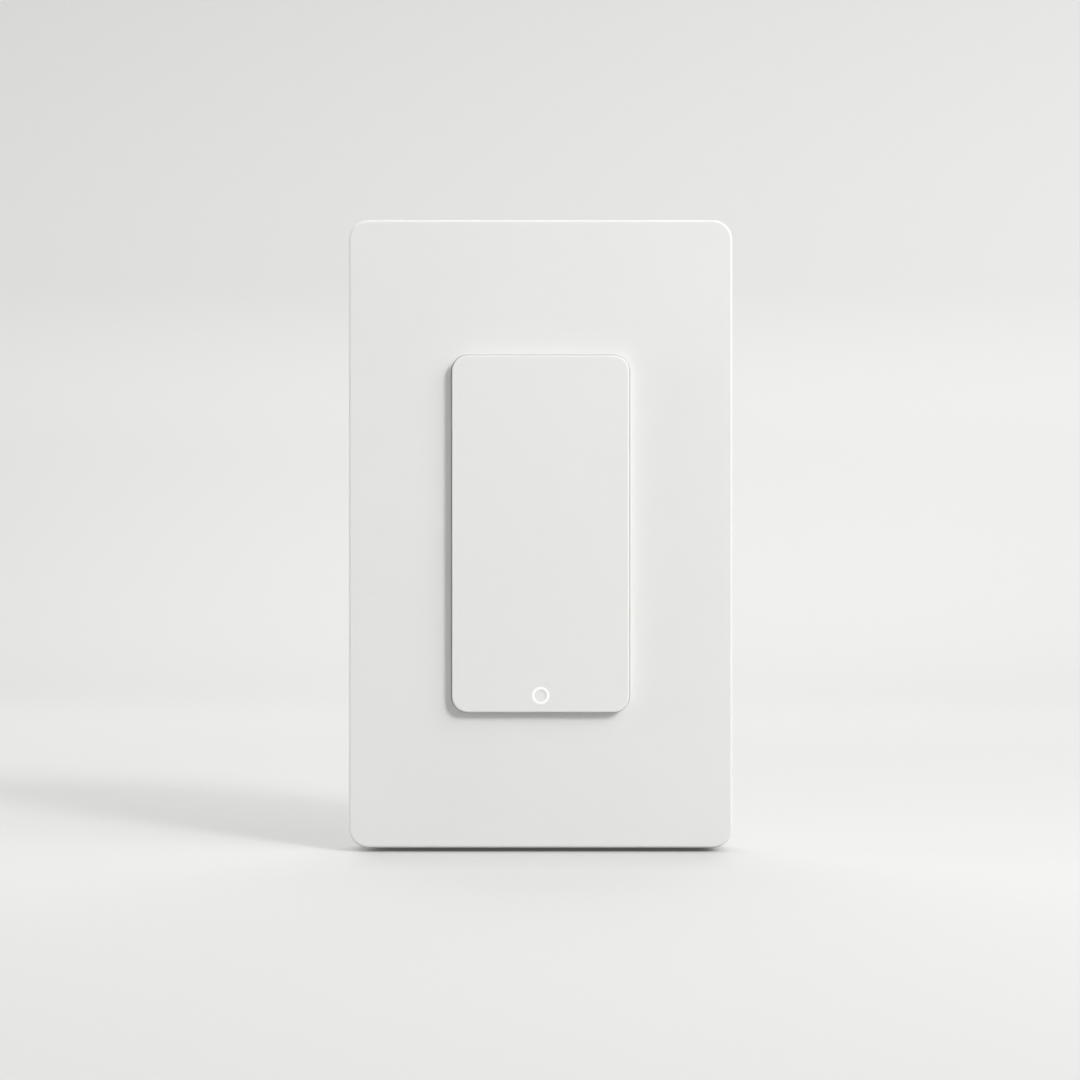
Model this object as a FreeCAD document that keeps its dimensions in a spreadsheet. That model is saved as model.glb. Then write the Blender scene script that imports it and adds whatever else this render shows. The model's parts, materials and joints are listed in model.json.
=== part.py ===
import FreeCAD, Part
import math
import os
import re
import Sketcher
from FreeCAD import Placement, Rotation, Vector

# Battery-powered wall switch that hangs on a flat bracket.
# X runs to the right seen from the front, Z runs up, and the wall is the plane Y = 0.
# Depths are measured from the wall towards the front, along -Y.
# The origin is the middle of the wall side.

SIZES = {
    # front plate
    "plate_width": 69.85,
    "plate_height": 114.3,
    "plate_corner": 3.6,
    "plate_edge": 0.45,
    "plate_wall": 1.8,
    "plate_skirt": 1.6,
    "plate_off_wall": 0.7,
    "collar_wall": 1.2,
    "collar_height": 1.5,
    "rib_thick": 1.0,
    "rib_height": 1.2,
    "side_rib_pitch": 24.0,
    "end_rib_across": 10.0,
    # paddle
    "paddle_width": 32.2,
    "paddle_height": 64.8,
    "paddle_corner": 2.9,
    "paddle_edge": 0.2,
    "paddle_wall": 1.6,
    "paddle_skirt": 1.2,
    "paddle_skirt_depth": 5.6,
    "paddle_rise": 2.0,
    "paddle_gap": 0.12,
    "paddle_rib_thick": 1.0,
    "paddle_rib_height": 0.9,
    "paddle_rib_inset": 2.1,
    "half_rib_gap": 4.5,
    "press_angle": 0.77,
    # hinge of the paddle
    "hinge_down": 2.9,
    "hinge_behind": 3.9,
    "hinge_pin_radius": 0.9,
    "hinge_pin_length": 2.8,
    "hinge_play": 0.05,
    "lug_reach": 3.75,
    "lug_height": 5.6,
    "lug_behind": 1.7,
    "post_play": 0.1,
    "post_base_height": 4.4,
    "post_base_gap": 0.2,
    # ears that hold the paddle behind the collar
    "ear_across": 11.0,
    "ear_width": 5.0,
    "ear_thick": 1.2,
    "ear_reach": 1.4,
    "ear_gap": 0.1,
    # lit ring
    "ring_up": 3.1,
    "ring_outer": 1.65,
    "ring_inner": 1.05,
    "ring_boss_wall": 0.95,
    "ring_boss_height": 1.0,
    "ring_tail": 0.2,
    "ring_plug_inset": 0.1,
    # push switch under the paddle
    "switch_up": 3.5,
    "switch_side": 6.0,
    "switch_height": 1.5,
    "switch_roof": 0.5,
    "switch_leg": 1.1,
    "switch_leg_width": 0.7,
    "switch_leg_thick": 0.2,
    "stem_radius": 1.7,
    "stem_play": 0.05,
    "stem_rise": 0.45,
    "stem_flange": 0.5,
    "stem_flange_thick": 0.35,
    "touch_gap": 0.05,
    "click_pad_radius": 1.8,
    "click_pad_thick": 0.8,
    "actuator_wall": 0.6,
    "actuator_height": 0.3,
    # return springs and rubber stops
    "spring_side_gap": 1.8,
    "spring_up": 12.4,
    "spring_width": 3.0,
    "spring_sheet": 0.2,
    "spring_run": 5.0,
    "spring_foot": 1.6,
    "spring_end": 1.0,
    "spring_end_drop": 0.8,
    "stop_ring_gap": 1.5,
    "stop_up": 5.9,
    "stop_side": 2.8,
    "stop_clearance": 0.03,
    # circuit board and what is on it
    "board_thick": 1.0,
    "board_side_gap": 0.9,
    "board_end_gap": 0.8,
    "board_below_hinge": 5.0,
    "board_screw_side": 2.4,
    "board_screw_top": 3.5,
    "board_screw_low": 3.4,
    "led_width": 1.6,
    "led_height": 0.8,
    "led_thick": 0.7,
    "radio_above_switch": 12.0,
    "radio_width": 12.0,
    "radio_height": 10.0,
    "radio_thick": 0.8,
    "radio_notch": 0.7,
    "radio_notch_pitch": 1.5,
    "shield_inset": 1.1,
    "shield_height": 1.4,
    "shield_sheet": 0.2,
    "antenna_below_top": 0.4,
    "antenna_length": 15.0,
    "antenna_width": 2.0,
    "antenna_rise": 1.8,
    "antenna_sheet": 0.3,
    "antenna_leg_width": 1.2,
    "antenna_leg_pitch": 3.0,
    "chip_side": 5.0,
    "chip_thick": 0.9,
    "chip_below_switch": 11.0,
    "crystal_width": 1.5,
    "crystal_height": 3.2,
    "crystal_thick": 0.7,
    "capacitor_width": 1.25,
    "capacitor_height": 2.0,
    "capacitor_thick": 0.8,
    "capacitor_pitch": 3.2,
    "capacitor_across": 9.6,
    # battery compartment
    "cell_radius": 10.0,
    "cell_thick": 3.2,
    "cell_play": 0.1,
    "contact_room": 0.6,
    "contact_sheet": 0.25,
    "contact_width": 3.0,
    "contact_foot": 2.2,
    "contact_play": 0.1,
    "contact_slot_play": 0.4,
    "holder_play": 0.45,
    "holder_wall": 1.1,
    "holder_height": 2.0,
    "holder_foot": 2.0,
    "holder_foot_width": 9.0,
    "holder_foot_thick": 0.9,
    # twist-lock battery door
    "door_ring_play": 0.3,
    "door_ring_wall": 0.9,
    "door_hole_play": 0.2,
    "door_disc_thick": 1.1,
    "door_flange_thick": 0.8,
    "door_flange_reach": 1.1,
    "door_collar_wall": 2.6,
    "door_collar_height": 0.6,
    "door_tab_reach": 1.1,
    "door_tab_thick": 0.8,
    "door_tab_angle": 24.0,
    "door_tab_play": 2.0,
    "door_turn": 30.0,
    "door_play": 0.1,
    "coin_slot_length": 14.0,
    "coin_slot_width": 1.8,
    "coin_slot_depth": 0.6,
    # rear cover
    "cover_gap": 0.2,
    "cover_wall": 1.2,
    "cover_inset": 0.1,
    "cover_floor": 1.4,
    "cover_rim_stand": 1.6,
    "cover_step_wall": 1.4,
    # wall bracket and its adhesive pads
    "bracket_thick": 2.4,
    "bracket_side_inset": 11.925,
    "bracket_end_inset": 9.15,
    "bracket_corner": 4.0,
    "bracket_off_wall": 0.4,
    "recess_gap": 0.4,
    "slide_play": 0.2,
    "lift_travel": 5.0,
    "tab_up": 28.0,
    "tab_reach": 2.0,
    "tab_length": 4.6,
    "tab_thick": 1.0,
    "tab_seat_gap": 0.1,
    "slot_end_inset": 6.33,
    "slot_length": 7.0,
    "slot_width": 4.4,
    "slot_head_room": 1.7,
    "slot_head_depth": 1.2,
    "window_side": 2.5,
    "window_end": 7.5,
    "window_corner": 3.0,
    "pad_side_inset": 3.0,
    "pad_above_window": 2.5,
    "pad_below_slot": 2.0,
    "pad_thick": 1.0,
    "pad_gap": 0.2,
    # screws
    "screw_radius": 0.95,
    "screw_play": 0.05,
    "screw_hole_play": 0.2,
    "screw_bite": 3.6,
    "pilot_room": 0.5,
    "head_radius": 1.9,
    "head_thick": 1.2,
    "head_play": 0.2,
    "housing_screw_inset": 7.15,
    "housing_boss_side": 4.4,
    "cover_boss_height": 6.0,
    "board_post_side": 4.4,
    # how far a cut runs past the face that it opens
    "overrun": 1.0,
}

# Sizes and places that follow from the ones above.
# A name that ends in _depth is a distance from the wall.
DERIVED = {
    # layers from the wall to the face
    "bracket_front_depth": "bracket_off_wall + bracket_thick",
    "floor_back_depth": "bracket_front_depth + slide_play",
    "floor_depth": "floor_back_depth + cover_floor",
    "door_back_depth": "floor_back_depth + door_play",
    "door_disc_depth": "door_back_depth + door_disc_thick",
    "cell_back_depth": "door_disc_depth + cell_play",
    "cell_front_depth": "cell_back_depth + cell_thick",
    "board_back_depth": "cell_front_depth + contact_room",
    "board_depth": "board_back_depth + board_thick",
    "switch_roof_depth": "board_depth + switch_height",
    "stem_depth": "switch_roof_depth + stem_rise",
    "click_pad_depth": "stem_depth + touch_gap",
    "actuator_depth": "click_pad_depth + click_pad_thick",
    "underside_depth": "actuator_depth + actuator_height",
    "paddle_depth": "underside_depth + paddle_wall",
    "plate_depth": "paddle_depth - paddle_rise",
    "plate_inner_depth": "plate_depth - plate_wall",
    "collar_depth": "plate_inner_depth - collar_height",
    "hinge_depth": "underside_depth - hinge_behind",
    "skirt_depth": "underside_depth - paddle_skirt_depth",
    # paddle and its opening
    "paddle_side": "paddle_width / 2",
    "paddle_end": "paddle_height / 2",
    "opening_side": "paddle_side + paddle_gap",
    "opening_end": "paddle_end + paddle_gap",
    "hinge_up": "paddle_end - hinge_down",
    "ring_middle": "ring_up - paddle_end",
    "spring_middle": "spring_up - paddle_end",
    "stop_middle": "stop_up - paddle_end",
    "lug_side": "opening_side + lug_reach",
    "lug_depth": "hinge_depth - lug_behind",
    "pin_end": "paddle_side + hinge_pin_length",
    "actuator_radius": "click_pad_radius + actuator_wall",
    "rib_line": "paddle_side - paddle_skirt - paddle_rib_inset",
    "spring_across": "rib_line - paddle_rib_thick / 2 - spring_side_gap - spring_width / 2",
    "stop_across": "ring_outer + ring_boss_wall + stop_ring_gap + stop_side / 2",
    # circuit board
    "board_side": "paddle_side - paddle_skirt - board_side_gap",
    "board_low": "board_end_gap + paddle_skirt - paddle_end",
    "board_top": "hinge_up - board_below_hinge",
    "board_screw_across": "board_side - board_screw_side",
    "board_screw_upper": "board_top - board_screw_top",
    "board_screw_lower": "board_low + board_screw_low",
    "radio_middle": "switch_up + radio_above_switch",
    "chip_middle": "switch_up - chip_below_switch",
    "antenna_high": "board_top - antenna_below_top",
    "antenna_low": "antenna_high - antenna_width",
    "antenna_depth": "board_depth + antenna_rise",
    # battery door and its seat
    "door_ring_inner": "cell_radius + door_ring_play",
    "door_ring_outer": "door_ring_inner + door_ring_wall",
    "door_hole": "door_ring_outer + door_hole_play",
    "door_flange": "door_hole + door_flange_reach",
    "door_seat_depth": "door_back_depth + door_flange_thick + door_play",
    "door_lip_depth": "floor_depth + door_collar_height",
    "door_tab_depth": "door_lip_depth + door_play",
    "door_tab_radius": "door_ring_outer + door_tab_reach",
    # shells
    "plate_side": "plate_width / 2",
    "plate_end": "plate_height / 2",
    "cover_side": "plate_side - plate_skirt - cover_gap",
    "cover_end": "plate_end - plate_skirt - cover_gap",
    "cover_corner": "plate_corner - plate_skirt - cover_gap",
    "cover_back_depth": "plate_off_wall + cover_inset",
    "channel_depth": "cover_back_depth + cover_floor",
    "cover_rim_depth": "floor_depth + cover_rim_stand",
    "channel_outer": "cover_side - cover_wall",
    "channel_inner": "tab_pocket_side + cover_step_wall",
    "housing_screw_across": "(channel_inner + channel_outer) / 2",
    "housing_screw_up": "plate_end - housing_screw_inset",
    "head_back_depth": "cover_back_depth + slide_play",
    "head_seat_depth": "head_back_depth + head_thick",
    "boss_meet_depth": "head_seat_depth + cover_inset + head_thick",
    "screw_pilot": "screw_radius + screw_play",
    "screw_hole": "screw_radius + screw_hole_play",
    # bracket and the recess that it slides in
    "bracket_side": "plate_side - bracket_side_inset",
    "bracket_end": "plate_end - bracket_end_inset",
    "tab_side": "bracket_side + tab_reach",
    "tab_back_depth": "bracket_front_depth - tab_thick",
    "recess_side": "bracket_side + recess_gap",
    "recess_top": "bracket_end + recess_gap",
    "recess_low": "bracket_end + lift_travel + recess_gap",
    "tab_pocket_side": "tab_side + recess_gap",
    "lip_depth": "tab_back_depth - slide_play",
    "window_half_width": "door_flange + window_side",
    "window_half_height": "door_flange + window_end",
    "pad_side": "bracket_side - pad_side_inset",
    "slot_middle": "bracket_end - slot_end_inset",
    "head_recess_low": "slot_middle - slot_length / 2 - slot_head_room",
    "pad_near": "window_half_height + pad_above_window",
    "pad_far": "head_recess_low - pad_below_slot",
}

WORD = re.compile(r"[a-z]+(?:_[a-z]+)+")
DOC = FreeCAD.newDocument("wall_switch")
SHEET = DOC.addObject("Spreadsheet::Sheet", "sizes")


def fill_sheet():
    """Write each driving size to its own row, with its name as the alias."""
    for row, (name, size) in enumerate(SIZES.items(), start=1):
        SHEET.set(f"A{row}", name)
        SHEET.set(f"B{row}", str(size))
        SHEET.setAlias(f"B{row}", name)
    DOC.recompute()


def bound(formula):
    """Turn a formula in plain size names into one that reads the sheet."""
    def cell(match):
        name = match.group()
        if name in DERIVED:
            return "(" + bound(DERIVED[name]) + ")"
        return "sizes." + name if name in SIZES or name == "overrun" else name
    return re.sub(r"overrun|" + WORD.pattern, cell, formula)


def number(formula):
    """The present value of a formula, for a sketch's first lines."""
    return float(SHEET.evalExpression(bound(formula).replace("sizes.", "")))


def new_body(name):
    body = DOC.addObject("PartDesign::Body", name)
    body.Label = name
    return body


PLANES = {"front": "XZ_Plane", "side": "YZ_Plane", "top": "XY_Plane"}


def new_sketch(body, name, view, lift="0", across="0", turn=None):
    """An empty sketch on one of the body's planes, lifted off it along its normal.

    front: drawn in X and Z, lifted towards the front by a depth.
    side: drawn in Y and Z, lifted along X.
    top: drawn in X and Y, lifted along Z.
    """
    sketch = body.newObject("Sketcher::SketchObject", name)
    planes = body.Origin.OriginFeatures
    plane = next(feature for feature in planes if feature.Role == PLANES[view])
    sketch.AttachmentSupport = [(plane, "")]
    sketch.MapMode = "FlatFace"
    if turn is not None:
        sketch.AttachmentOffset = Placement(Vector(), Rotation(Vector(0, 1, 0), number(turn)))
        sketch.setExpression("AttachmentOffset.Rotation.Angle", bound(turn))
    sketch.setExpression("AttachmentOffset.Base.z", bound(lift))
    sketch.setExpression("AttachmentOffset.Base.x", bound(across))
    return sketch


def hold(sketch, constraint, formula):
    """Add a constraint whose size follows a formula."""
    index = sketch.addConstraint(constraint)
    sketch.setExpression(f"Constraints[{index}]", bound(formula))


def hold_point(sketch, line, point, across, up):
    """Hold one point of a sketch at its two coordinates, 0 being the axis itself."""
    for kind, axis, formula in (("DistanceX", -2, across), ("DistanceY", -1, up)):
        if formula == "0":
            sketch.addConstraint(Sketcher.Constraint("PointOnObject", line, point, axis))
        else:
            here = Sketcher.Constraint(kind, -1, 1, line, point, number(formula))
            hold(sketch, here, formula)


def polygon(sketch, corners):
    spots = [Vector(number(across), number(up), 0) for across, up in corners]
    lines = []
    for start, end in zip(spots, spots[1:] + spots[:1]):
        lines.append(sketch.addGeometry(Part.LineSegment(start, end), False))
    for line, after in zip(lines, lines[1:] + lines[:1]):
        sketch.addConstraint(Sketcher.Constraint("Coincident", line, 2, after, 1))
    for line, (across, up) in zip(lines, corners):
        hold_point(sketch, line, 1, across, up)


def rectangles(sketch, boxes):
    """Upright boxes, each given as its left, right, low and high side."""
    for left, right, low, high in boxes:
        polygon(sketch, [(left, low), (right, low), (right, high), (left, high)])


def box_about_middle(half_width, half_height):
    return [(f"-({half_width})", half_width, f"-({half_height})", half_height)]


def boxes_at(places, side):
    """Square boxes of one size, each about its own place."""
    half = f"{side} / 2"
    return [(f"{x} - {half}", f"{x} + {half}", f"{z} - {half}", f"{z} + {half}") for x, z in places]


def mirrored(boxes):
    """The boxes and their mirror images in the middle line."""
    return boxes + [(f"-({right})", f"-({left})", low, high) for left, right, low, high in boxes]


def arc(sketch, across, up, radius, start, sweep):
    """An arc that runs on from its start angle by a sweep, both in degrees."""
    circle = Part.Circle(Vector(across, up, 0), Vector(0, 0, 1), radius)
    angles = math.radians(start), math.radians(start + sweep)
    return sketch.addGeometry(Part.ArcOfCircle(circle, *angles), False)


def join_arcs(sketch, arcs):
    """Join arcs in turn by straight sides that touch them, and return the sides."""
    sides = []
    for here, after in zip(arcs, arcs[1:] + arcs[:1]):
        line = Part.LineSegment(sketch.getPoint(here, 2), sketch.getPoint(after, 1))
        side = sketch.addGeometry(line, False)
        sketch.addConstraint(Sketcher.Constraint("Tangent", here, 2, side, 1))
        sketch.addConstraint(Sketcher.Constraint("Tangent", side, 2, after, 1))
        sides.append(side)
    return sides


def same_radius(sketch, arcs, radius):
    for other in arcs[1:]:
        sketch.addConstraint(Sketcher.Constraint("Equal", arcs[0], other))
    hold(sketch, Sketcher.Constraint("Radius", arcs[0], number(radius)), radius)


def rounded(sketch, left, right, low, high, radius):
    """A rectangle with round corners."""
    near, far, under, over = number(left), number(right), number(low), number(high)
    bend = number(radius)
    arcs = [
        arc(sketch, far - bend, under + bend, bend, 270, 90),
        arc(sketch, far - bend, over - bend, bend, 0, 90),
        arc(sketch, near + bend, over - bend, bend, 90, 90),
        arc(sketch, near + bend, under + bend, bend, 180, 90),
    ]
    sides = join_arcs(sketch, arcs)
    for side, kind in zip(sides, ("Vertical", "Horizontal", "Vertical", "Horizontal")):
        sketch.addConstraint(Sketcher.Constraint(kind, side))
    same_radius(sketch, arcs, radius)
    places = zip(sides, ("DistanceX", "DistanceY", "DistanceX", "DistanceY"), (right, high, left, low))
    for side, kind, formula in places:
        hold(sketch, Sketcher.Constraint(kind, -1, 1, side, 1, number(formula)), formula)


def centred(sketch, half_width, half_height, radius):
    """A rounded rectangle about the origin."""
    rounded(sketch, f"-({half_width})", half_width, f"-({half_height})", half_height, radius)


def slot(sketch, across, up, length, width):
    """An upright slot with round ends."""
    radius = f"({width}) / 2"
    reach = f"(({length}) - ({width})) / 2"
    middle, height, bend = number(across), number(up), number(radius)
    run = number(reach)
    arcs = [
        arc(sketch, middle, height + run, bend, 0, 180),
        arc(sketch, middle, height - run, bend, 180, 180),
    ]
    join_arcs(sketch, arcs)
    same_radius(sketch, arcs, radius)
    for end, sign in zip(arcs, "+-"):
        hold_point(sketch, end, 3, across, f"{up} {sign} {reach}")


def slots(sketch, heights, length, width):
    for up in heights:
        slot(sketch, "0", up, length, width)


def circles(sketch, radius, places):
    for across, up in places:
        middle = Vector(number(across), number(up), 0)
        ring = sketch.addGeometry(Part.Circle(middle, Vector(0, 0, 1), number(radius)), False)
        hold(sketch, Sketcher.Constraint("Radius", ring, number(radius)), radius)
        hold_point(sketch, ring, 3, across, up)


def add(body, name, back, front, draw, *shape):
    """Add a block between two depths, with an outline seen from the front."""
    sketch = new_sketch(body, name + "_outline", "front", back)
    draw(sketch, *shape)
    block = body.newObject("PartDesign::Pad", name)
    block.Profile = sketch
    block.setExpression("Length", bound(f"({front}) - ({back})"))
    return block


def cut(body, name, back, front, draw, *shape):
    """Cut between two depths, with an outline seen from the front."""
    sketch = new_sketch(body, name + "_outline", "front", front)
    draw(sketch, *shape)
    hollow = body.newObject("PartDesign::Pocket", name)
    hollow.Profile = sketch
    hollow.setExpression("Length", bound(f"({front}) - ({back})"))
    return hollow


def turn_profile(body, kind, name, across, up, profile, angle=None, start=None):
    """Revolve a half section, given as radius and depth, about an axis square to the wall."""
    sketch = new_sketch(body, name + "_section", "top", up, across, start)
    polygon(sketch, [(radius, f"-({depth})") for radius, depth in profile])
    feature = body.newObject(kind, name)
    feature.Profile = sketch
    feature.ReferenceAxis = (sketch, ["V_Axis"])
    feature.Angle = 360
    if angle is not None:
        feature.Midplane = True
        feature.setExpression("Angle", bound(angle))
    return feature


def turned(body, name, across, up, profile, angle=None, start=None):
    return turn_profile(body, "PartDesign::Revolution", name, across, up, profile, angle, start)


def turned_cut(body, name, across, up, profile, angle=None, start=None):
    return turn_profile(body, "PartDesign::Groove", name, across, up, profile, angle, start)


def repeat_round(body, feature, name, count):
    """Repeat a feature round the door's axis."""
    pattern = body.newObject("PartDesign::PolarPattern", name)
    pattern.Originals = [feature]
    axes = body.Origin.OriginFeatures
    pattern.Axis = (next(axis for axis in axes if axis.Role == "Y_Axis"), [""])
    pattern.Angle = 360
    pattern.Occurrences = count
    body.Tip = pattern


def mirror_sideways(body, feature, name):
    mirror = body.newObject("PartDesign::Mirrored", name)
    mirror.Originals = [feature]
    planes = body.Origin.OriginFeatures
    mirror.MirrorPlane = (next(plane for plane in planes if plane.Role == "YZ_Plane"), [""])
    body.Tip = mirror


def soften_front_edges(body, feature, name, depth, kind, size):
    """Round or bevel every edge of a feature that lies in its face at a depth."""
    DOC.recompute()
    level = -number(depth)
    names = []
    for index, edge in enumerate(feature.Shape.Edges, start=1):
        box = edge.BoundBox
        if abs(box.YMin - level) < 1e-4 and abs(box.YMax - level) < 1e-4:
            names.append(f"Edge{index}")
    edges = body.newObject("PartDesign::" + kind, name)
    edges.Base = (feature, names)
    edges.setExpression("Radius" if kind == "Fillet" else "Size", bound(size))


def four_places(across, up):
    return [(x, z) for x in (across, f"-({across})") for z in (up, f"-({up})")]


def make_front_plate():
    """The face plate: a shallow tray with the paddle's opening and its hinge sockets."""
    body = new_body("front_plate")
    block = add(body, "plate_block", "plate_off_wall", "plate_depth",
                centred, "plate_side", "plate_end", "plate_corner")
    soften_front_edges(body, block, "plate_soft_edge", "plate_depth", "Fillet", "plate_edge")
    cut(body, "plate_hollow", "plate_off_wall - overrun", "plate_inner_depth",
        rectangles, box_about_middle("plate_side - plate_skirt", "plate_end - plate_skirt"))
    add(body, "paddle_collar", "collar_depth", "plate_inner_depth",
        rectangles, box_about_middle("opening_side + collar_wall", "opening_end + collar_wall"))
    add_plate_ribs(body)
    add(body, "hinge_lugs", "lug_depth", "plate_inner_depth", rectangles, mirrored(
        [("opening_side", "lug_side", "hinge_up - lug_height / 2", "hinge_up + lug_height / 2")]))
    cut(body, "paddle_opening", "lug_depth - overrun", "plate_depth + overrun",
        centred, "opening_side", "opening_end", "paddle_corner + paddle_gap")
    cut_hinge_sockets(body)
    places = four_places("housing_screw_across", "housing_screw_up")
    add(body, "screw_bosses", "boss_meet_depth", "plate_inner_depth",
        rectangles, boxes_at(places, "housing_boss_side"))
    cut(body, "screw_pilots", "boss_meet_depth - overrun", "boss_meet_depth + screw_bite + pilot_room",
        circles, "screw_pilot", places)


def add_plate_ribs(body):
    """Low ribs from the collar to the skirt, beside, above and below the paddle."""
    half = "rib_thick / 2"
    side = "plate_side - plate_skirt / 2"
    end = "plate_end - plate_skirt / 2"
    beside = [("opening_side", side, f"{row} - {half}", f"{row} + {half}")
              for row in ("-side_rib_pitch", "0", "side_rib_pitch")]
    beyond = [(f"end_rib_across - {half}", f"end_rib_across + {half}", low, high)
              for low, high in (("opening_end", end), (f"-({end})", "-opening_end"))]
    add(body, "plate_ribs", "plate_inner_depth - rib_height", "plate_inner_depth",
        rectangles, mirrored(beside + beyond))


def cut_hinge_sockets(body):
    """U-shaped sockets, open to the back, that the paddle's pins drop into."""
    sketch = new_sketch(body, "socket_outline", "side")
    reach = "hinge_pin_radius + hinge_play"
    middle, height, bend = -number("hinge_depth"), number("hinge_up"), number(reach)
    back = -number("lug_depth - overrun")
    circle = Part.Circle(Vector(middle, height, 0), Vector(0, 0, 1), bend)
    bottom = sketch.addGeometry(Part.ArcOfCircle(circle, math.pi / 2, 3 * math.pi / 2), False)
    corners = [Vector(middle, height - bend, 0), Vector(back, height - bend, 0),
               Vector(back, height + bend, 0), Vector(middle, height + bend, 0)]
    lines = []
    for start, end in zip(corners, corners[1:]):
        lines.append(sketch.addGeometry(Part.LineSegment(start, end), False))
    sketch.addConstraint(Sketcher.Constraint("Tangent", bottom, 2, lines[0], 1))
    sketch.addConstraint(Sketcher.Constraint("Tangent", lines[2], 2, bottom, 1))
    sketch.addConstraint(Sketcher.Constraint("Coincident", lines[0], 2, lines[1], 1))
    sketch.addConstraint(Sketcher.Constraint("Coincident", lines[1], 2, lines[2], 1))
    sketch.addConstraint(Sketcher.Constraint("Horizontal", lines[0]))
    sketch.addConstraint(Sketcher.Constraint("Vertical", lines[1]))
    sketch.addConstraint(Sketcher.Constraint("Horizontal", lines[2]))
    hold_point(sketch, bottom, 3, "-hinge_depth", "hinge_up")
    hold(sketch, Sketcher.Constraint("Radius", bottom, bend), reach)
    hold(sketch, Sketcher.Constraint("DistanceX", -1, 1, lines[1], 1, back), "overrun - lug_depth")
    sockets = body.newObject("PartDesign::Pocket", "hinge_sockets")
    sockets.Profile = sketch
    sockets.SideType = "Symmetric"
    sockets.setExpression("Length", bound("2 * lug_side + overrun"))


def make_paddle():
    """The rocker: a tray with a skirt, hinge pins, ears and seats on its underside."""
    body = new_body("paddle")
    block = add(body, "paddle_block", "skirt_depth", "paddle_depth",
                centred, "paddle_side", "paddle_end", "paddle_corner")
    soften_front_edges(body, block, "paddle_bevel", "paddle_depth", "Chamfer", "paddle_edge")
    cut(body, "paddle_hollow", "skirt_depth - overrun", "underside_depth",
        rectangles, box_about_middle("paddle_side - paddle_skirt", "paddle_end - paddle_skirt"))
    add_paddle_ribs(body)
    add(body, "ears", "collar_depth - ear_gap - ear_thick", "collar_depth - ear_gap",
        rectangles, mirrored([("ear_across - ear_width / 2", "ear_across + ear_width / 2",
                               "-paddle_end - ear_reach", "paddle_skirt / 2 - paddle_end")]))
    add_hinge_pins(body)
    add(body, "actuator", "actuator_depth", "underside_depth",
        circles, "actuator_radius", [("0", "switch_up")])
    add(body, "ring_boss", "underside_depth - ring_boss_height", "underside_depth",
        circles, "ring_outer + ring_boss_wall", [("0", "ring_middle")])
    cut(body, "ring_hole", "underside_depth - ring_boss_height - overrun", "paddle_depth + overrun",
        circles, "ring_outer", [("0", "ring_middle")])


def add_paddle_ribs(body):
    """Two long ribs and three cross ribs under the paddle's face, as one lattice."""
    back = "underside_depth - paddle_rib_height"
    half = "paddle_rib_thick / 2"
    end = "paddle_end - paddle_skirt / 2"
    add(body, "long_ribs", back, "underside_depth", rectangles,
        mirrored([(f"rib_line - {half}", f"rib_line + {half}", f"-({end})", end)]))
    rows = ("board_top - half_rib_gap", "switch_up + half_rib_gap", "spring_middle + half_rib_gap")
    add(body, "cross_ribs", back, "underside_depth", rectangles,
        [("-rib_line", "rib_line", f"{row} - {half}", f"{row} + {half}") for row in rows])


def add_hinge_pins(body):
    sketch = new_sketch(body, "pin_outline", "side", "paddle_side - paddle_skirt / 2")
    circles(sketch, "hinge_pin_radius", [("-hinge_depth", "hinge_up")])
    pin = body.newObject("PartDesign::Pad", "hinge_pin")
    pin.Profile = sketch
    pin.setExpression("Length", bound("hinge_pin_length + paddle_skirt / 2"))
    mirror_sideways(body, pin, "hinge_pins")


def make_ring():
    """The clear light guide, with a pale disc in its middle."""
    body = new_body("ring_window")
    back = "underside_depth - ring_boss_height - ring_tail"
    turned(body, "ring_guide", "0", "ring_middle",
           [("ring_inner", back), ("ring_outer", back), ("ring_outer", "paddle_depth"),
            ("ring_inner", "paddle_depth")])
    body = new_body("ring_plug")
    turned(body, "plug", "0", "ring_middle",
           [("0", "underside_depth"), ("ring_inner", "underside_depth"),
            ("ring_inner", "paddle_depth - ring_plug_inset"), ("0", "paddle_depth - ring_plug_inset")])


def make_click_pad():
    body = new_body("click_pad")
    add(body, "soft_tip", "click_pad_depth", "actuator_depth",
        circles, "click_pad_radius", [("0", "switch_up")])


def make_push_switch():
    """A square push switch whose stem is held in by its flange."""
    body = new_body("tact_switch_case")
    half = "switch_side / 2"
    roof = "switch_roof_depth - switch_roof"
    add(body, "case_block", "board_depth", "switch_roof_depth",
        rectangles, [(f"-{half}", half, f"switch_up - {half}", f"switch_up + {half}")])
    cut(body, "flange_room", "board_depth + switch_leg_thick", roof,
        circles, "stem_radius + stem_flange + stem_play", [("0", "switch_up")])
    cut(body, "stem_hole", roof, "switch_roof_depth + overrun",
        circles, "stem_radius + stem_play", [("0", "switch_up")])
    leg = f"{half} + switch_leg"
    wide = "switch_leg_width / 2"
    rows = ("switch_up + switch_side / 3", "switch_up - switch_side / 3")
    add(body, "legs", "board_depth", "board_depth + switch_leg_thick", rectangles,
        [(f"-({leg})", leg, f"{row} - {wide}", f"{row} + {wide}") for row in rows])
    body = new_body("tact_switch_stem")
    flange = "switch_roof_depth - switch_roof - stem_play - stem_flange_thick"
    wide = "stem_radius + stem_flange"
    turned(body, "stem", "0", "switch_up",
           [("0", flange), (wide, flange), (wide, f"{flange} + stem_flange_thick"),
            ("stem_radius", f"{flange} + stem_flange_thick"), ("stem_radius", "stem_depth"),
            ("0", "stem_depth")])


def bent_strip(body, name, width, profile, middle="0"):
    """A strip of sheet whose bends show from the side, given as depth and height."""
    sketch = new_sketch(body, name + "_profile", "side", middle)
    polygon(sketch, [(f"-({depth})", up) for depth, up in profile])
    strip = body.newObject("PartDesign::Pad", name)
    strip.Profile = sketch
    strip.SideType = "Symmetric"
    strip.setExpression("Length", bound(width))
    return strip


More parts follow.
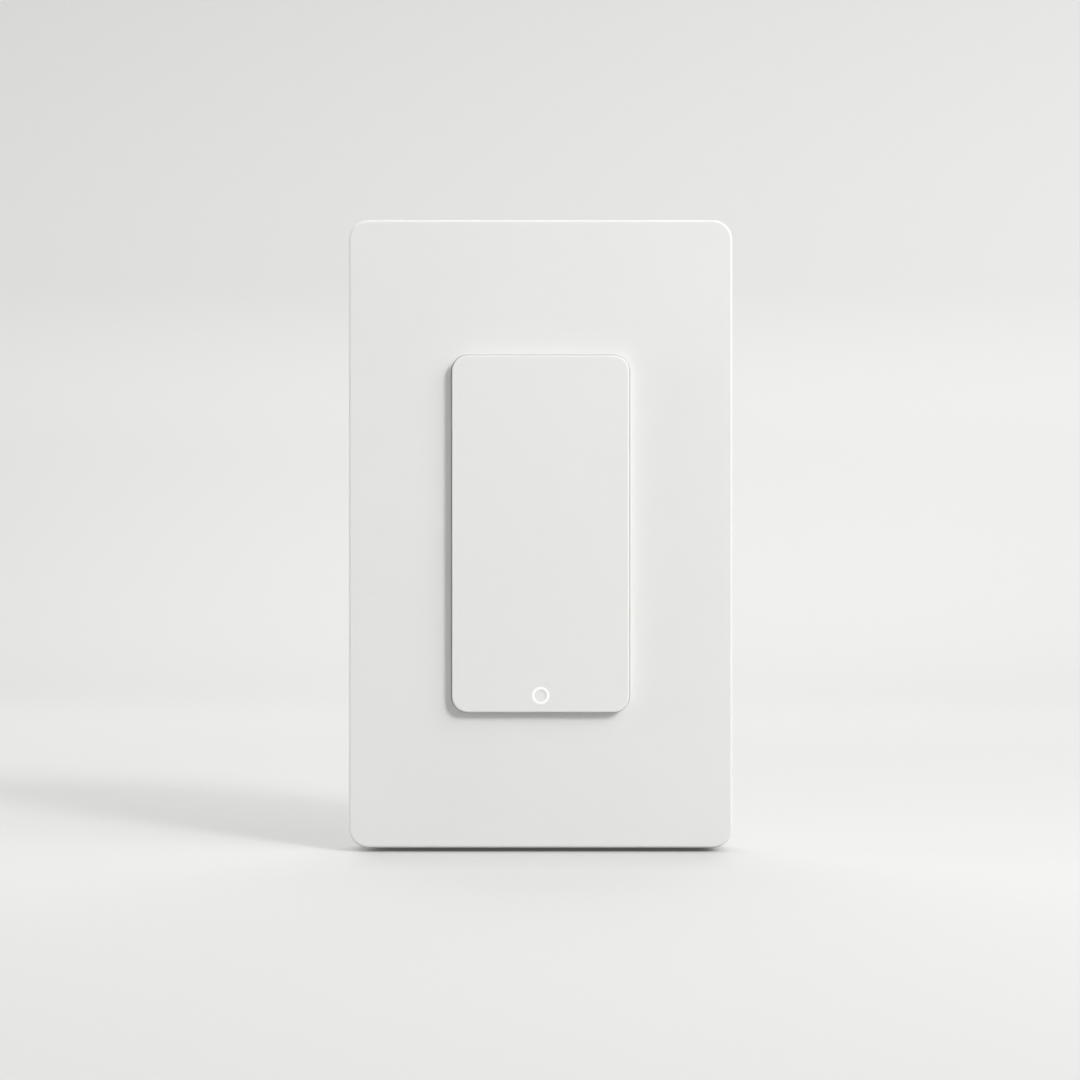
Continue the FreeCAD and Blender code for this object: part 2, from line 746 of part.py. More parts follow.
def make_return_springs():
    """Two bent leaves of spring sheet that stand on the board and carry the paddle."""
    body = new_body("return_springs")
    low, high = "spring_middle - spring_run / 2", "spring_middle + spring_run / 2"
    crest = "underside_depth - touch_gap"
    foot, tip = f"{low} - spring_foot", f"{high} + spring_end"
    leaf = bent_strip(body, "leaf", "spring_width",
                      [("board_depth", foot), ("board_depth", low), (f"{crest} - spring_sheet", high),
                       (f"{crest} - spring_sheet - spring_end_drop", tip),
                       (f"{crest} - spring_end_drop", tip), (crest, high),
                       ("board_depth + spring_sheet", low), ("board_depth + spring_sheet", foot)],
                      "spring_across")
    mirror_sideways(body, leaf, "leaves")


def make_stop_pads():
    """Rubber stops that the paddle meets at the end of its travel."""
    body = new_body("stop_pads")
    dip = "(hinge_up - stop_middle) * tan(press_angle) + stop_clearance"
    places = [("stop_across", "stop_middle"), ("-stop_across", "stop_middle")]
    add(body, "stops", "board_depth", f"underside_depth - ({dip})",
        rectangles, boxes_at(places, "stop_side"))


def board_post_places():
    return [(x, z) for x in ("board_screw_across", "-board_screw_across")
            for z in ("board_screw_upper", "board_screw_lower")]


def board_screw_places():
    """Two of the four posts, across a diagonal of the board, take a screw."""
    right_upper, _, _, left_lower = board_post_places()
    return [right_upper, left_lower]


def make_circuit_board():
    body = new_body("circuit_board")
    add(body, "board", "board_back_depth", "board_depth",
        rectangles, [("-board_side", "board_side", "board_low", "board_top")])
    cut(body, "board_holes", "board_back_depth - overrun", "board_depth + overrun",
        circles, "screw_hole", board_screw_places())


def make_led():
    """The lamp under the ring: a base with a smaller lens block."""
    body = new_body("status_led")
    low, high = "ring_middle - led_height / 2", "ring_middle + led_height / 2"
    add(body, "led_base", "board_depth", "board_depth + led_thick / 2",
        rectangles, [("-led_width / 2", "led_width / 2", low, high)])
    add(body, "led_lens", "board_depth + led_thick / 2", "board_depth + led_thick",
        rectangles, [("-led_width / 3", "led_width / 3", low, high)])


def make_radio():
    """The radio's own small board, with notched solder edges, and its metal can."""
    body = new_body("radio_board")
    low, high = "radio_middle - radio_height / 2", "radio_middle + radio_height / 2"
    add(body, "module", "board_depth", "board_depth + radio_thick",
        rectangles, [("-radio_width / 2", "radio_width / 2", low, high)])
    rows = [f"radio_middle + {step} * radio_notch_pitch" for step in (-2, -1, 1, 2)] + ["radio_middle"]
    places = [(x, z) for x in ("radio_width / 2", "-radio_width / 2") for z in rows]
    cut(body, "solder_notches", "board_depth - overrun", "board_depth + radio_thick + overrun",
        rectangles, boxes_at(places, "radio_notch"))
    body = new_body("shield_can")
    seat = "board_depth + radio_thick"
    for name, work, back, front, wall in (
            ("can_block", add, seat, f"{seat} + shield_height", "0"),
            ("can_hollow", cut, f"{seat} - overrun", f"{seat} + shield_height - shield_sheet",
             "shield_sheet")):
        work(body, name, back, front, rectangles,
             [(f"shield_inset + {wall} - radio_width / 2", f"radio_width / 2 - shield_inset - {wall}",
               f"{low} + shield_inset + {wall}", f"{high} - shield_inset - {wall}")])


def make_antenna():
    """A stamped strip held off the board near its top edge by two bent legs."""
    body = new_body("antenna_strip")
    left = "antenna_length / 2 - antenna_length"
    add(body, "strip", "antenna_depth - antenna_sheet", "antenna_depth",
        rectangles, [(left, "antenna_length / 2", "antenna_low", "antenna_high")])
    starts = (left, f"{left} + antenna_leg_pitch")
    add(body, "strip_legs", "board_depth", "antenna_depth - antenna_sheet / 2", rectangles,
        [(start, f"{start} + antenna_leg_width", "antenna_high - antenna_sheet", "antenna_high")
         for start in starts])


def make_chips():
    """The controller, its crystal and six small capacitors."""
    body = new_body("controller_chip")
    half = "chip_side / 2"
    add(body, "chip", "board_depth", "board_depth + chip_thick",
        rectangles, [(f"-{half}", half, f"chip_middle - {half}", f"chip_middle + {half}")])
    body = new_body("crystal_can")
    left = "chip_side / 2 + 2 * crystal_width"
    add(body, "crystal", "board_depth", "board_depth + crystal_thick",
        rectangles, [(left, f"{left} + crystal_width", "chip_middle - crystal_height / 2",
                      "chip_middle + crystal_height / 2")])
    body = new_body("chip_capacitors")
    half, tall = "capacitor_width / 2", "capacitor_height / 2"
    rows = [f"switch_up + {step} * capacitor_pitch" for step in (-1, 0, 1)]
    add(body, "capacitors", "board_depth", "board_depth + capacitor_thick", rectangles, mirrored(
        [(f"capacitor_across - {half}", f"capacitor_across + {half}", f"{row} - {tall}",
          f"{row} + {tall}") for row in rows]))


def make_battery_parts():
    """The cell, the ring that holds it and its two spring contacts."""
    body = new_body("coin_cell")
    turned(body, "cell", "0", "0",
           [("0", "cell_back_depth"), ("cell_radius", "cell_back_depth"),
            ("cell_radius", "cell_front_depth"), ("0", "cell_front_depth")])
    body = new_body("battery_holder")
    inner, back = "cell_radius + holder_play", "board_back_depth - holder_height"
    outer = f"{inner} + holder_wall"
    turned(body, "holder_ring", "0", "0",
           [(inner, back), (outer, back), (outer, "board_back_depth"), (inner, "board_back_depth")])
    wide, far = "holder_foot_width / 2", f"{outer} + holder_foot"
    near = f"{inner} + holder_wall / 2"
    add(body, "holder_feet", "board_back_depth - holder_foot_thick", "board_back_depth",
        rectangles, [(f"-{wide}", wide, near, far), (f"-{wide}", wide, f"-({far})", f"-({near})")])
    slot_half = "contact_width / 2 + contact_slot_play"
    cut(body, "contact_slot", f"{back} - overrun", "board_back_depth + overrun",
        rectangles, [(f"-({slot_half})", slot_half, "cell_radius / 2", f"{far} + overrun")])
    make_contacts(back)


def make_contacts(back):
    body = new_body("positive_contact")
    inner = "cell_radius + contact_play"
    foot = "board_back_depth - contact_sheet"
    bent_strip(body, "side_leaf", "contact_width",
               [("board_back_depth", inner), (back, inner), (back, f"{inner} + contact_sheet"),
                (foot, f"{inner} + contact_sheet"), (foot, f"{inner} + contact_foot"),
                ("board_back_depth", f"{inner} + contact_foot")])
    body = new_body("negative_contact")
    crest = "cell_front_depth + contact_play / 2"
    bent_strip(body, "middle_leaf", "contact_width",
               [("board_back_depth", "-2 * contact_foot"), ("board_back_depth", "-contact_foot"),
                (f"{crest} + contact_sheet", "0"), ("board_back_depth - contact_play", "contact_foot"),
                ("board_back_depth - contact_play - contact_sheet / 2", "contact_foot"),
                (crest, "contact_sheet"), (crest, "-contact_sheet"),
                (foot, "-contact_foot"), (foot, "-2 * contact_foot")])


def make_battery_door():
    """A round door with three tabs that lock behind the cover's floor."""
    body = new_body("battery_door")
    flange_front = "door_back_depth + door_flange_thick"
    tab_front = "door_tab_depth + door_tab_thick"
    turned(body, "door_disc", "0", "0",
           [("0", "door_back_depth"), ("door_flange", "door_back_depth"),
            ("door_flange", flange_front), ("door_ring_outer", flange_front),
            ("door_ring_outer", tab_front), ("door_ring_inner", tab_front),
            ("door_ring_inner", "door_disc_depth"), ("0", "door_disc_depth")])
    tab = turned(body, "door_tab", "0", "0",
                 [("door_ring_outer - door_ring_wall / 2", "door_tab_depth"),
                  ("door_tab_radius", "door_tab_depth"), ("door_tab_radius", tab_front),
                  ("door_ring_outer - door_ring_wall / 2", tab_front)], "door_tab_angle")
    repeat_round(body, tab, "door_tabs", 3)
    cut(body, "coin_slot", "door_back_depth - overrun", "door_back_depth + coin_slot_depth",
        slot, "0", "0", "coin_slot_length", "coin_slot_width")


def make_rear_cover():
    """The back shell: a raised floor over the bracket, with lower channels at its sides."""
    body = new_body("rear_cover")
    add(body, "cover_block", "cover_back_depth", "cover_rim_depth",
        centred, "cover_side", "cover_end", "cover_corner")
    low, high = "cover_wall - cover_end", "cover_end - cover_wall"
    cut(body, "cover_hollow", "floor_depth", "cover_rim_depth + overrun",
        rectangles, [("-channel_outer", "channel_outer", low, high)])
    cut(body, "side_channels", "channel_depth", "floor_depth",
        rectangles, mirrored([("channel_inner", "channel_outer", low, high)]))
    cut(body, "bracket_recess", "cover_back_depth - overrun", "floor_back_depth", rounded,
        "-recess_side", "recess_side", "-recess_low", "recess_top", "bracket_corner")
    cut_tab_pockets(body)
    add_door_seat(body)
    add(body, "board_posts", "floor_depth", "board_back_depth",
        rectangles, boxes_at(board_post_places(), "board_post_side"))
    cut(body, "board_pilots", "floor_depth", "board_back_depth + overrun",
        circles, "screw_pilot", board_screw_places())
    add_hinge_posts(body)
    places = four_places("housing_screw_across", "housing_screw_up")
    tall = "cover_boss_height / 2"
    add(body, "cover_bosses", "channel_depth", "boss_meet_depth", rectangles, mirrored(
        [("channel_inner", "channel_outer", f"{up} - {tall}", f"{up} + {tall}")
         for up in ("housing_screw_up", "-housing_screw_up")]))
    cut(body, "head_pockets", "cover_back_depth - overrun", "head_seat_depth",
        circles, "head_radius + head_play", places)
    cut(body, "screw_holes", "head_seat_depth - overrun", "boss_meet_depth + overrun",
        circles, "screw_hole", places)


def cut_tab_pockets(body):
    """Undercuts that the bracket's tabs slide into, each with a way in from behind."""
    near, far = "recess_side - recess_gap / 2", "tab_pocket_side"
    pockets, ways_in = [], []
    for up in ("tab_up", "-tab_up"):
        low = f"{up} - tab_length / 2 - lift_travel - recess_gap"
        pockets.append((near, far, low, f"{up} + tab_length / 2 + tab_seat_gap"))
        ways_in.append((near, far, low, f"{up} - tab_length / 2 - tab_seat_gap"))
    cut(body, "tab_pockets", "lip_depth", "floor_back_depth", rectangles, mirrored(pockets))
    cut(body, "tab_ways_in", "cover_back_depth - overrun", "lip_depth", rectangles, mirrored(ways_in))


def add_door_seat(body):
    add(body, "door_collar", "floor_depth", "door_lip_depth",
        circles, "door_hole + door_collar_wall", [("0", "0")])
    cut(body, "door_flange_seat", "floor_back_depth - overrun", "door_seat_depth",
        circles, "door_flange + door_hole_play", [("0", "0")])
    cut(body, "door_opening", "door_seat_depth - overrun", "door_lip_depth + overrun",
        circles, "door_hole", [("0", "0")])
    notch = turned_cut(body, "tab_notch", "0", "0",
                       [("door_ring_outer", "door_seat_depth - door_play"),
                        ("door_tab_radius + door_hole_play", "door_seat_depth - door_play"),
                        ("door_tab_radius + door_hole_play", "door_lip_depth + overrun"),
                        ("door_ring_outer", "door_lip_depth + overrun")],
                       "door_tab_angle + 2 * door_tab_play", "door_turn")
    repeat_round(body, notch, "tab_notches", 3)


def add_hinge_posts(body):
    """Posts that close the hinge sockets behind the paddle's pins."""
    half = "hinge_pin_radius + hinge_play - post_play"
    base = "post_base_height / 2"
    add(body, "post_bases", "floor_depth", "lug_depth - post_base_gap", rectangles, mirrored(
        [("paddle_side + hinge_pin_radius", "lug_side", f"hinge_up - {base}", f"hinge_up + {base}")]))
    add(body, "post_tips", "lug_depth - post_base_gap",
        "hinge_depth - hinge_pin_radius - hinge_play", rectangles, mirrored(
            [("opening_side + collar_wall", "pin_end", f"hinge_up - ({half})", f"hinge_up + {half}")]))


def make_screws():
    """Four screws for the shells, put in from behind, and two for the board."""
    body = new_body("housing_screws")
    tip = "boss_meet_depth + screw_bite"
    for across, up in four_places("housing_screw_across", "housing_screw_up"):
        turned(body, "housing_screw", across, up,
               [("0", "head_back_depth"), ("head_radius", "head_back_depth"),
                ("head_radius", "head_seat_depth"), ("screw_radius", "head_seat_depth"),
                ("screw_radius", tip), ("0", tip)])
    body = new_body("board_screws")
    top = "board_depth + head_thick"
    tip = "board_depth - screw_bite"
    for across, up in board_screw_places():
        turned(body, "board_screw", across, up,
               [("0", top), ("0", tip), ("screw_radius", tip), ("screw_radius", "board_depth"),
                ("head_radius", "board_depth"), ("head_radius", top)])


def make_wall_bracket():
    """The flat bracket on the wall, with two screw slots, a window and four tabs."""
    body = new_body("wall_bracket")
    front = "bracket_front_depth"
    add(body, "bracket_plate", "bracket_off_wall", front,
        centred, "bracket_side", "bracket_end", "bracket_corner")
    add(body, "tabs", "tab_back_depth", front, rectangles,
        [("-tab_side", "tab_side", f"{up} - tab_length / 2", f"{up} + tab_length / 2")
         for up in ("tab_up", "-tab_up")])
    cut(body, "window", "bracket_off_wall - overrun", f"{front} + overrun",
        centred, "window_half_width", "window_half_height", "window_corner")
    heights = ("slot_middle", "-slot_middle")
    cut(body, "head_recesses", f"{front} - slot_head_depth", f"{front} + overrun",
        slots, heights, "slot_length + 2 * slot_head_room", "slot_width + 2 * slot_head_room")
    cut(body, "screw_slots", "bracket_off_wall - overrun", f"{front} + overrun",
        slots, heights, "slot_length", "slot_width")
    for low, high in (("pad_near", "pad_far"), ("-pad_far", "-pad_near")):
        cut(body, "pad_pocket", "bracket_off_wall - overrun", "pad_thick", rectangles,
            [("-pad_side - pad_gap", "pad_side + pad_gap", f"{low} - pad_gap", f"{high} + pad_gap")])


def make_adhesive_pads():
    for name, low, high in (("adhesive_pad_upper", "pad_near", "pad_far"),
                            ("adhesive_pad_lower", "-pad_far", "-pad_near")):
        body = new_body(name)
        add(body, "foam", "0", "pad_thick", rectangles, [("-pad_side", "pad_side", low, high)])


def check_model():
    """Stop if a feature failed, a cut took nothing away, or a sub-part is not sound."""
    for item in DOC.Objects:
        if "Invalid" in item.State or "Error" in item.State:
            raise RuntimeError(f"{item.Label} failed")
        if item.TypeId in ("PartDesign::Pocket", "PartDesign::Groove"):
            before, after = item.BaseFeature.Shape.Volume, item.Shape.Volume
            if after > before - 1e-6:
                raise RuntimeError(f"{item.Label} cuts nothing")
    bodies = [item for item in DOC.Objects if item.TypeId == "PartDesign::Body"]
    for body in bodies:
        if body.Shape.isNull() or not body.Shape.isValid():
            raise RuntimeError(f"{body.Label} is not a sound shape")
    return bodies


def write_parts(bodies):
    os.makedirs("parts", exist_ok=True)
    for body in bodies:
        body.Shape.exportStep(f"parts/{body.Label}.step")
        box = body.Shape.BoundBox
        print(f"{body.Label}: {len(body.Shape.Solids)} solids, {body.Shape.Volume:.1f} mm3, "
              f"{box.XLength:.2f} x {box.YLength:.2f} x {box.ZLength:.2f} mm")


fill_sheet()
make_front_plate()
make_paddle()
make_ring()
make_click_pad()
make_push_switch()
make_return_springs()
make_stop_pads()
make_circuit_board()
make_led()
make_radio()
make_antenna()
make_chips()
make_battery_parts()
make_battery_door()
make_rear_cover()
make_screws()
make_wall_bracket()
make_adhesive_pads()
DOC.recompute()
write_parts(check_model())
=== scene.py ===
# %% [markdown]
# # A battery-powered wall switch, dressed for its portrait
#
# The switch is a pale plate with one wide paddle, and a small ring of light near the paddle's lower end.
# Nearly everything is white on white, so its shape is told by soft edges, thin gaps and weak shadows.
#
# The solids come from a CAD model that already has the true sizes. We load them as a fixed frame.
# Then we give each one a finish, and we build the small things that the solids only stand for.

import json
import math

import bmesh
import bpy
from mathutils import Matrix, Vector


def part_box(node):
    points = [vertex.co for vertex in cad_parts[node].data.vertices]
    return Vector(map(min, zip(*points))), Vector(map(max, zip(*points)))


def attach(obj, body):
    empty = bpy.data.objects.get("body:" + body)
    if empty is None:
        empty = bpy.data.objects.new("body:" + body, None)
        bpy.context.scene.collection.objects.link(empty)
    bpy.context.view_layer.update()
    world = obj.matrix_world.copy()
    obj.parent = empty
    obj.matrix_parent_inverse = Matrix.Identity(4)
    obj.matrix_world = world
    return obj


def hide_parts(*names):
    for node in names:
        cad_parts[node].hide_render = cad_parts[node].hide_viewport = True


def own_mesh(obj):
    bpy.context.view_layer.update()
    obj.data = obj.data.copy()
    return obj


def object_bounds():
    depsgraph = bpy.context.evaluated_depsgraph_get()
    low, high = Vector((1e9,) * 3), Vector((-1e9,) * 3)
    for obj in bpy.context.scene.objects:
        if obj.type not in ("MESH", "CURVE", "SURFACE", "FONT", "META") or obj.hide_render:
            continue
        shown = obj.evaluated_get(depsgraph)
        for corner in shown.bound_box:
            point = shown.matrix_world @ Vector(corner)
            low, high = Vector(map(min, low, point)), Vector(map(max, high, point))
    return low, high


MM = 0.001

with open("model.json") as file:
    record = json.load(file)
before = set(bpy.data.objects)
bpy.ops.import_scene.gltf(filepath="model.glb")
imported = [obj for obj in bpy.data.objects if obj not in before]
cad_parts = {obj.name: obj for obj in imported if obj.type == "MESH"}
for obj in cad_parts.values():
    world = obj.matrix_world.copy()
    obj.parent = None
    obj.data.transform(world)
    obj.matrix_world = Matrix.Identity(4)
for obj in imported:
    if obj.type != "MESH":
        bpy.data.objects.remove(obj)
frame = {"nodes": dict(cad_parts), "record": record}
cad_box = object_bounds()
print("size in mm:", [round((high - low) / MM, 2) for low, high in zip(*cad_box)])

# %% [markdown]
# ## Small tools for meshes
#
# Every piece below is written as points and faces with bmesh. Blender's own cylinders would be quicker,
# but they have none of the rounded rims that make a small part look real.
# Turned parts come from a lathe, which turns a profile about an axis that is square to the wall.
# The others are rows of points with a skin over them, such as a flat outline raised into a plate.
#
# The part's frame has X to the right, Z up and the wall at Y = 0. Depths from the wall run along -Y.

# %% From points to an object
def finish_mesh(name, mesh, material, smooth_angle=35.0):
    """Turn a bmesh into an object with soft shading and one material."""
    bmesh.ops.recalc_face_normals(mesh, faces=mesh.faces)
    data = bpy.data.meshes.new(name)
    mesh.to_mesh(data)
    mesh.free()
    for face in data.polygons:
        face.use_smooth = True
    data.set_sharp_from_angle(angle=math.radians(smooth_angle))
    data.materials.append(material)
    piece = bpy.data.objects.new(name, data)
    bpy.context.scene.collection.objects.link(piece)
    print(f"{name}: {len(data.polygons)} faces")
    return piece


# %% Rows, a lathe and raised outlines
def skin_rows(mesh, rows):
    """Close the space between rows of as many points each, with a face at each end."""
    for near, far in zip(rows, rows[1:]):
        for corner in range(len(near)):
            after = (corner + 1) % len(near)
            mesh.faces.new([near[corner], near[after], far[after], far[corner]])
    mesh.faces.new(rows[0])
    mesh.faces.new(rows[-1])


def lathe(mesh, profile, across=0.0, up=0.0, steps=48):
    """Turn (radius, depth) points about an axis square to the wall; radius 0 makes a pole."""
    rings = []
    for radius, depth in profile:
        if radius <= 0.0:
            rings.append([mesh.verts.new((across, -depth, up))])
            continue
        ring = []
        for step in range(steps):
            angle = 2.0 * math.pi * step / steps
            ring.append(mesh.verts.new((across + radius * math.cos(angle), -depth,
                                        up + radius * math.sin(angle))))
        rings.append(ring)
    for near, far in zip(rings, rings[1:]):
        for step in range(steps):
            after = (step + 1) % steps
            corners = [near[step % len(near)], near[after % len(near)],
                       far[after % len(far)], far[step % len(far)]]
            unique = list(dict.fromkeys(corners))
            if len(unique) > 2:
                mesh.faces.new(unique)


def rounded_outline(left, right, low, high, radius, steps=6):
    """Corner points of a rectangle with round corners, in (x, z)."""
    points = []
    for x, z, start in ((right - radius, high - radius, 0.0), (left + radius, high - radius, 90.0),
                        (left + radius, low + radius, 180.0), (right - radius, low + radius, 270.0)):
        for step in range(steps + 1):
            angle = math.radians(start + 90.0 * step / steps)
            points.append((x + radius * math.cos(angle), z + radius * math.sin(angle)))
    return points


def raise_outline(mesh, outline, foot, top, soften=0.0):
    """A plate with that outline from depth foot to depth top; soften draws its top edge in."""
    middle_x = sum(x for x, z in outline) / len(outline)
    middle_z = sum(z for x, z in outline) / len(outline)
    sign = 1.0 if top > foot else -1.0
    layers = [(foot, 0.0), (top, 0.0)]
    if soften:
        layers = [(foot, 0.0), (top - sign * soften, 0.0), (top, soften)]
    rows = []
    for depth, inset in layers:
        row = []
        for x, z in outline:
            keep = 1.0 - inset / math.hypot(x - middle_x, z - middle_z)
            row.append(mesh.verts.new((middle_x + (x - middle_x) * keep, -depth,
                                       middle_z + (z - middle_z) * keep)))
        rows.append(row)
    skin_rows(mesh, rows)


# %% [markdown]
# ## The stage
#
# The photograph shows no horizon: the floor runs into the backdrop without a line. A photographer gets
# that with a paper sweep, one sheet with a wide round bend, and so do we. The paper lies three quarters
# of a millimetre below the plate's lower edge. The shadow that gathers in that gap is the dark line under
# the switch.

# %% The sweep
SHADOW_GAP = 0.75 * MM
FLOOR_UP = cad_box[0].z - SHADOW_GAP
FLOOR_FRONT, BEND_START, BEND_RADIUS = -1.6, 0.55, 0.5
PAPER_TOP, PAPER_HALF_WIDTH = 2.6, 2.2


def sweep_profile(steps=24):
    """Points from the floor's front edge, round the bend and up the wall, as (y, z)."""
    points = [(FLOOR_FRONT, 0.0), (BEND_START, 0.0)]
    for step in range(1, steps + 1):
        angle = 0.5 * math.pi * step / steps
        points.append((BEND_START + BEND_RADIUS * math.sin(angle),
                       BEND_RADIUS * (1.0 - math.cos(angle))))
    points.append((BEND_START + BEND_RADIUS, PAPER_TOP))
    return points


def make_sweep():
    mesh = bmesh.new()
    columns = (-PAPER_HALF_WIDTH, 0.0, PAPER_HALF_WIDTH)
    rows = [[mesh.verts.new((x, y, FLOOR_UP + z)) for x in columns] for y, z in sweep_profile()]
    for near, far in zip(rows, rows[1:]):
        for left in (0, 1):
            mesh.faces.new([near[left], near[left + 1], far[left + 1], far[left]])
    return mesh


# %% [markdown]
# ## Node tools
#
# A material in Blender is a small graph. Writing one by hand is wordy, so helpers add nodes, fill their
# inputs and do sums. Effects that several finishes share become node groups: built once, then placed with
# their own values.

# %% Add and fill nodes
def add_node(tree, kind, settings=None, **inputs):
    """Add a node; an input is a number, a colour or another node's output socket."""
    node = tree.nodes.new(kind)
    for name, value in (settings or {}).items():
        setattr(node, name, value)
    fill_inputs(tree, node, inputs)
    return node


def fill_inputs(tree, node, inputs):
    """Set or link inputs by name, or by number where the name is an underscore and digits."""
    for name, value in inputs.items():
        socket = node.inputs[int(name[1:])] if name[:1] == "_" else node.inputs[name.replace("_", " ")]
        if isinstance(value, bpy.types.NodeSocket):
            tree.links.new(value, socket)
        else:
            socket.default_value = value


def calc(tree, operation, *values, clamp=False):
    """A sum over numbers or sockets."""
    numbered = {f"_{spot}": value for spot, value in enumerate(values)}
    settings = {"operation": operation, "use_clamp": clamp}
    return add_node(tree, "ShaderNodeMath", settings, **numbered).outputs[0]


def calc_vector(tree, operation, *values):
    """The same over vectors; LENGTH gives a number."""
    numbered = {f"_{spot}": value for spot, value in enumerate(values)}
    node = add_node(tree, "ShaderNodeVectorMath", {"operation": operation}, **numbered)
    return node.outputs["Value" if operation == "LENGTH" else "Vector"]


def remap(tree, value, low, high, at_low=0.0, at_high=1.0, kind="LINEAR"):
    """Carry the values from low to high over to those from at_low to at_high, held at both ends."""
    return add_node(tree, "ShaderNodeMapRange", {"interpolation_type": kind}, Value=value, From_Min=low,
                    From_Max=high, To_Min=at_low, To_Max=at_high).outputs[0]


def mix_colours(tree, share, first, second):
    """A blend of two colours; the second one shows where the share is 1."""
    mix = add_node(tree, "ShaderNodeMix", {"data_type": "RGBA"}, Factor=share, _6=first, _7=second)
    return mix.outputs[2]


def object_place(tree):
    """Where a point lies in the part's own frame, in metres."""
    return add_node(tree, "ShaderNodeTexCoord").outputs["Object"]


# %% Materials and groups
def new_material(name, colour, roughness, **plain):
    """A material with a Principled shader whose plain values sit on its own sockets."""
    material = bpy.data.materials.new(name)
    material.use_nodes = True
    tree = material.node_tree
    shader = tree.nodes["Principled BSDF"]
    shader.inputs["Base Color"].default_value = (*colour, 1.0)
    shader.inputs["Roughness"].default_value = roughness
    for socket, value in plain.items():
        shader.inputs[socket.replace("_", " ")].default_value = value
    material.diffuse_color = (*colour, 1.0)
    return material, tree, shader


def add_relief(tree, shader, height, relief_mm):
    """Let a height from 0 to 1 bend the light, as a relief of that many millimetres would."""
    bump = add_node(tree, "ShaderNodeBump", Strength=1.0, Distance=relief_mm * MM, Height=height)
    tree.links.new(bump.outputs["Normal"], shader.inputs["Normal"])


def new_group(name, sockets_in, sockets_out):
    """A shader node group with named sockets: (name, kind, default) in, (name, kind) out."""
    tree = bpy.data.node_groups.new(name, "ShaderNodeTree")
    for label, kind, default in sockets_in:
        socket = tree.interface.new_socket(label, in_out="INPUT", socket_type="NodeSocket" + kind)
        socket.default_value = default
    for label, kind in sockets_out:
        tree.interface.new_socket(label, in_out="OUTPUT", socket_type="NodeSocket" + kind)
    return tree, tree.nodes.new("NodeGroupInput"), tree.nodes.new("NodeGroupOutput")


def place_group(tree, group, **inputs):
    """Put a node group into a material with its own values."""
    node = tree.nodes.new("ShaderNodeGroup")
    node.node_tree = group
    fill_inputs(tree, node, inputs)
    return node


# %% [markdown]
# ## The sweep's paper
#
# White paper under full light would send so much light back that the switch's own soft shades would
# drown. So the paper is a mid grey that lights up a little by itself, but only where the camera or a
# reflection sees it: the Light Path node tells. The background is then as pale as in the photograph, and
# no more light falls on the switch for it. The paper's own shading stays, and with it the switch's
# shadow.
#
# The glow changes with the depth of the place, as the light in the photograph does, and leans to the right.
# It is held back right under the switch, where no light gets in.

# %% What the paper shows
PAPER_COLOUR = (0.44, 0.44, 0.435)
PAPER_GLOW_COLOUR = (0.998, 1.0, 0.975, 1.0)
PAPER_GLOW_BY_DEPTH = ((-1.6, 0.42), (-0.8, 0.34), (-0.3, 0.265), (-0.15, 0.29), (-0.05, 0.31),
                       (0.1, 0.28), (0.25, 0.255), (0.38, 0.25), (0.55, 0.23), (0.7, 0.26),
                       (0.83, 0.30), (0.93, 0.37), (1.05, 0.33))
PAPER_GLOW_TILT, FULL_TILT_DEPTH = 0.19, 0.8
SWITCH_MIDDLE_DEPTH = 6.0 * MM
SHADE_BY_REACH_MM = ((0.0, 0.78), (5.0, 0.78), (8.0, 0.42), (11.0, 0.28), (16.0, 0.20), (24.0, 0.13),
                     (36.0, 0.0))
SHADE_SIDE, SHADE_SIDE_END = 29.0 * MM, 35.0 * MM


def seen_directly(tree):
    """One where a ray comes from the camera, a reflection or a clear piece, and zero elsewhere."""
    paths = add_node(tree, "ShaderNodeLightPath").outputs
    seen = calc(tree, "ADD", paths["Is Camera Ray"], paths["Is Glossy Ray"], clamp=True)
    return calc(tree, "ADD", seen, paths["Is Transmission Ray"], clamp=True)


def curve_node(tree, value, points):
    """A float curve through (place, height) points; the places may have any range."""
    low, high = points[0][0], points[-1][0]
    node = add_node(tree, "ShaderNodeFloatCurve", Value=remap(tree, value, low, high))
    curve = node.mapping.curves[0]
    for spot, (place, height) in enumerate(points):
        share = (place - low) / (high - low)
        if spot in (0, len(points) - 1):
            curve.points[0 if spot == 0 else -1].location = (share, height)
        else:
            curve.points.new(share, height)
    node.mapping.update()
    return node.outputs[0]


def contact_shade(tree, across, depth):
    """How much of the glow is left under and round the switch."""
    side = remap(tree, calc(tree, "ABSOLUTE", across), SHADE_SIDE, SHADE_SIDE_END, 1.0, 0.0, "SMOOTHSTEP")
    reach = calc(tree, "ABSOLUTE", calc(tree, "ADD", depth, SWITCH_MIDDLE_DEPTH))
    near = curve_node(tree, reach, [(far * MM, share) for far, share in SHADE_BY_REACH_MM])
    return calc(tree, "SUBTRACT", 1.0, calc(tree, "MULTIPLY", side, near))


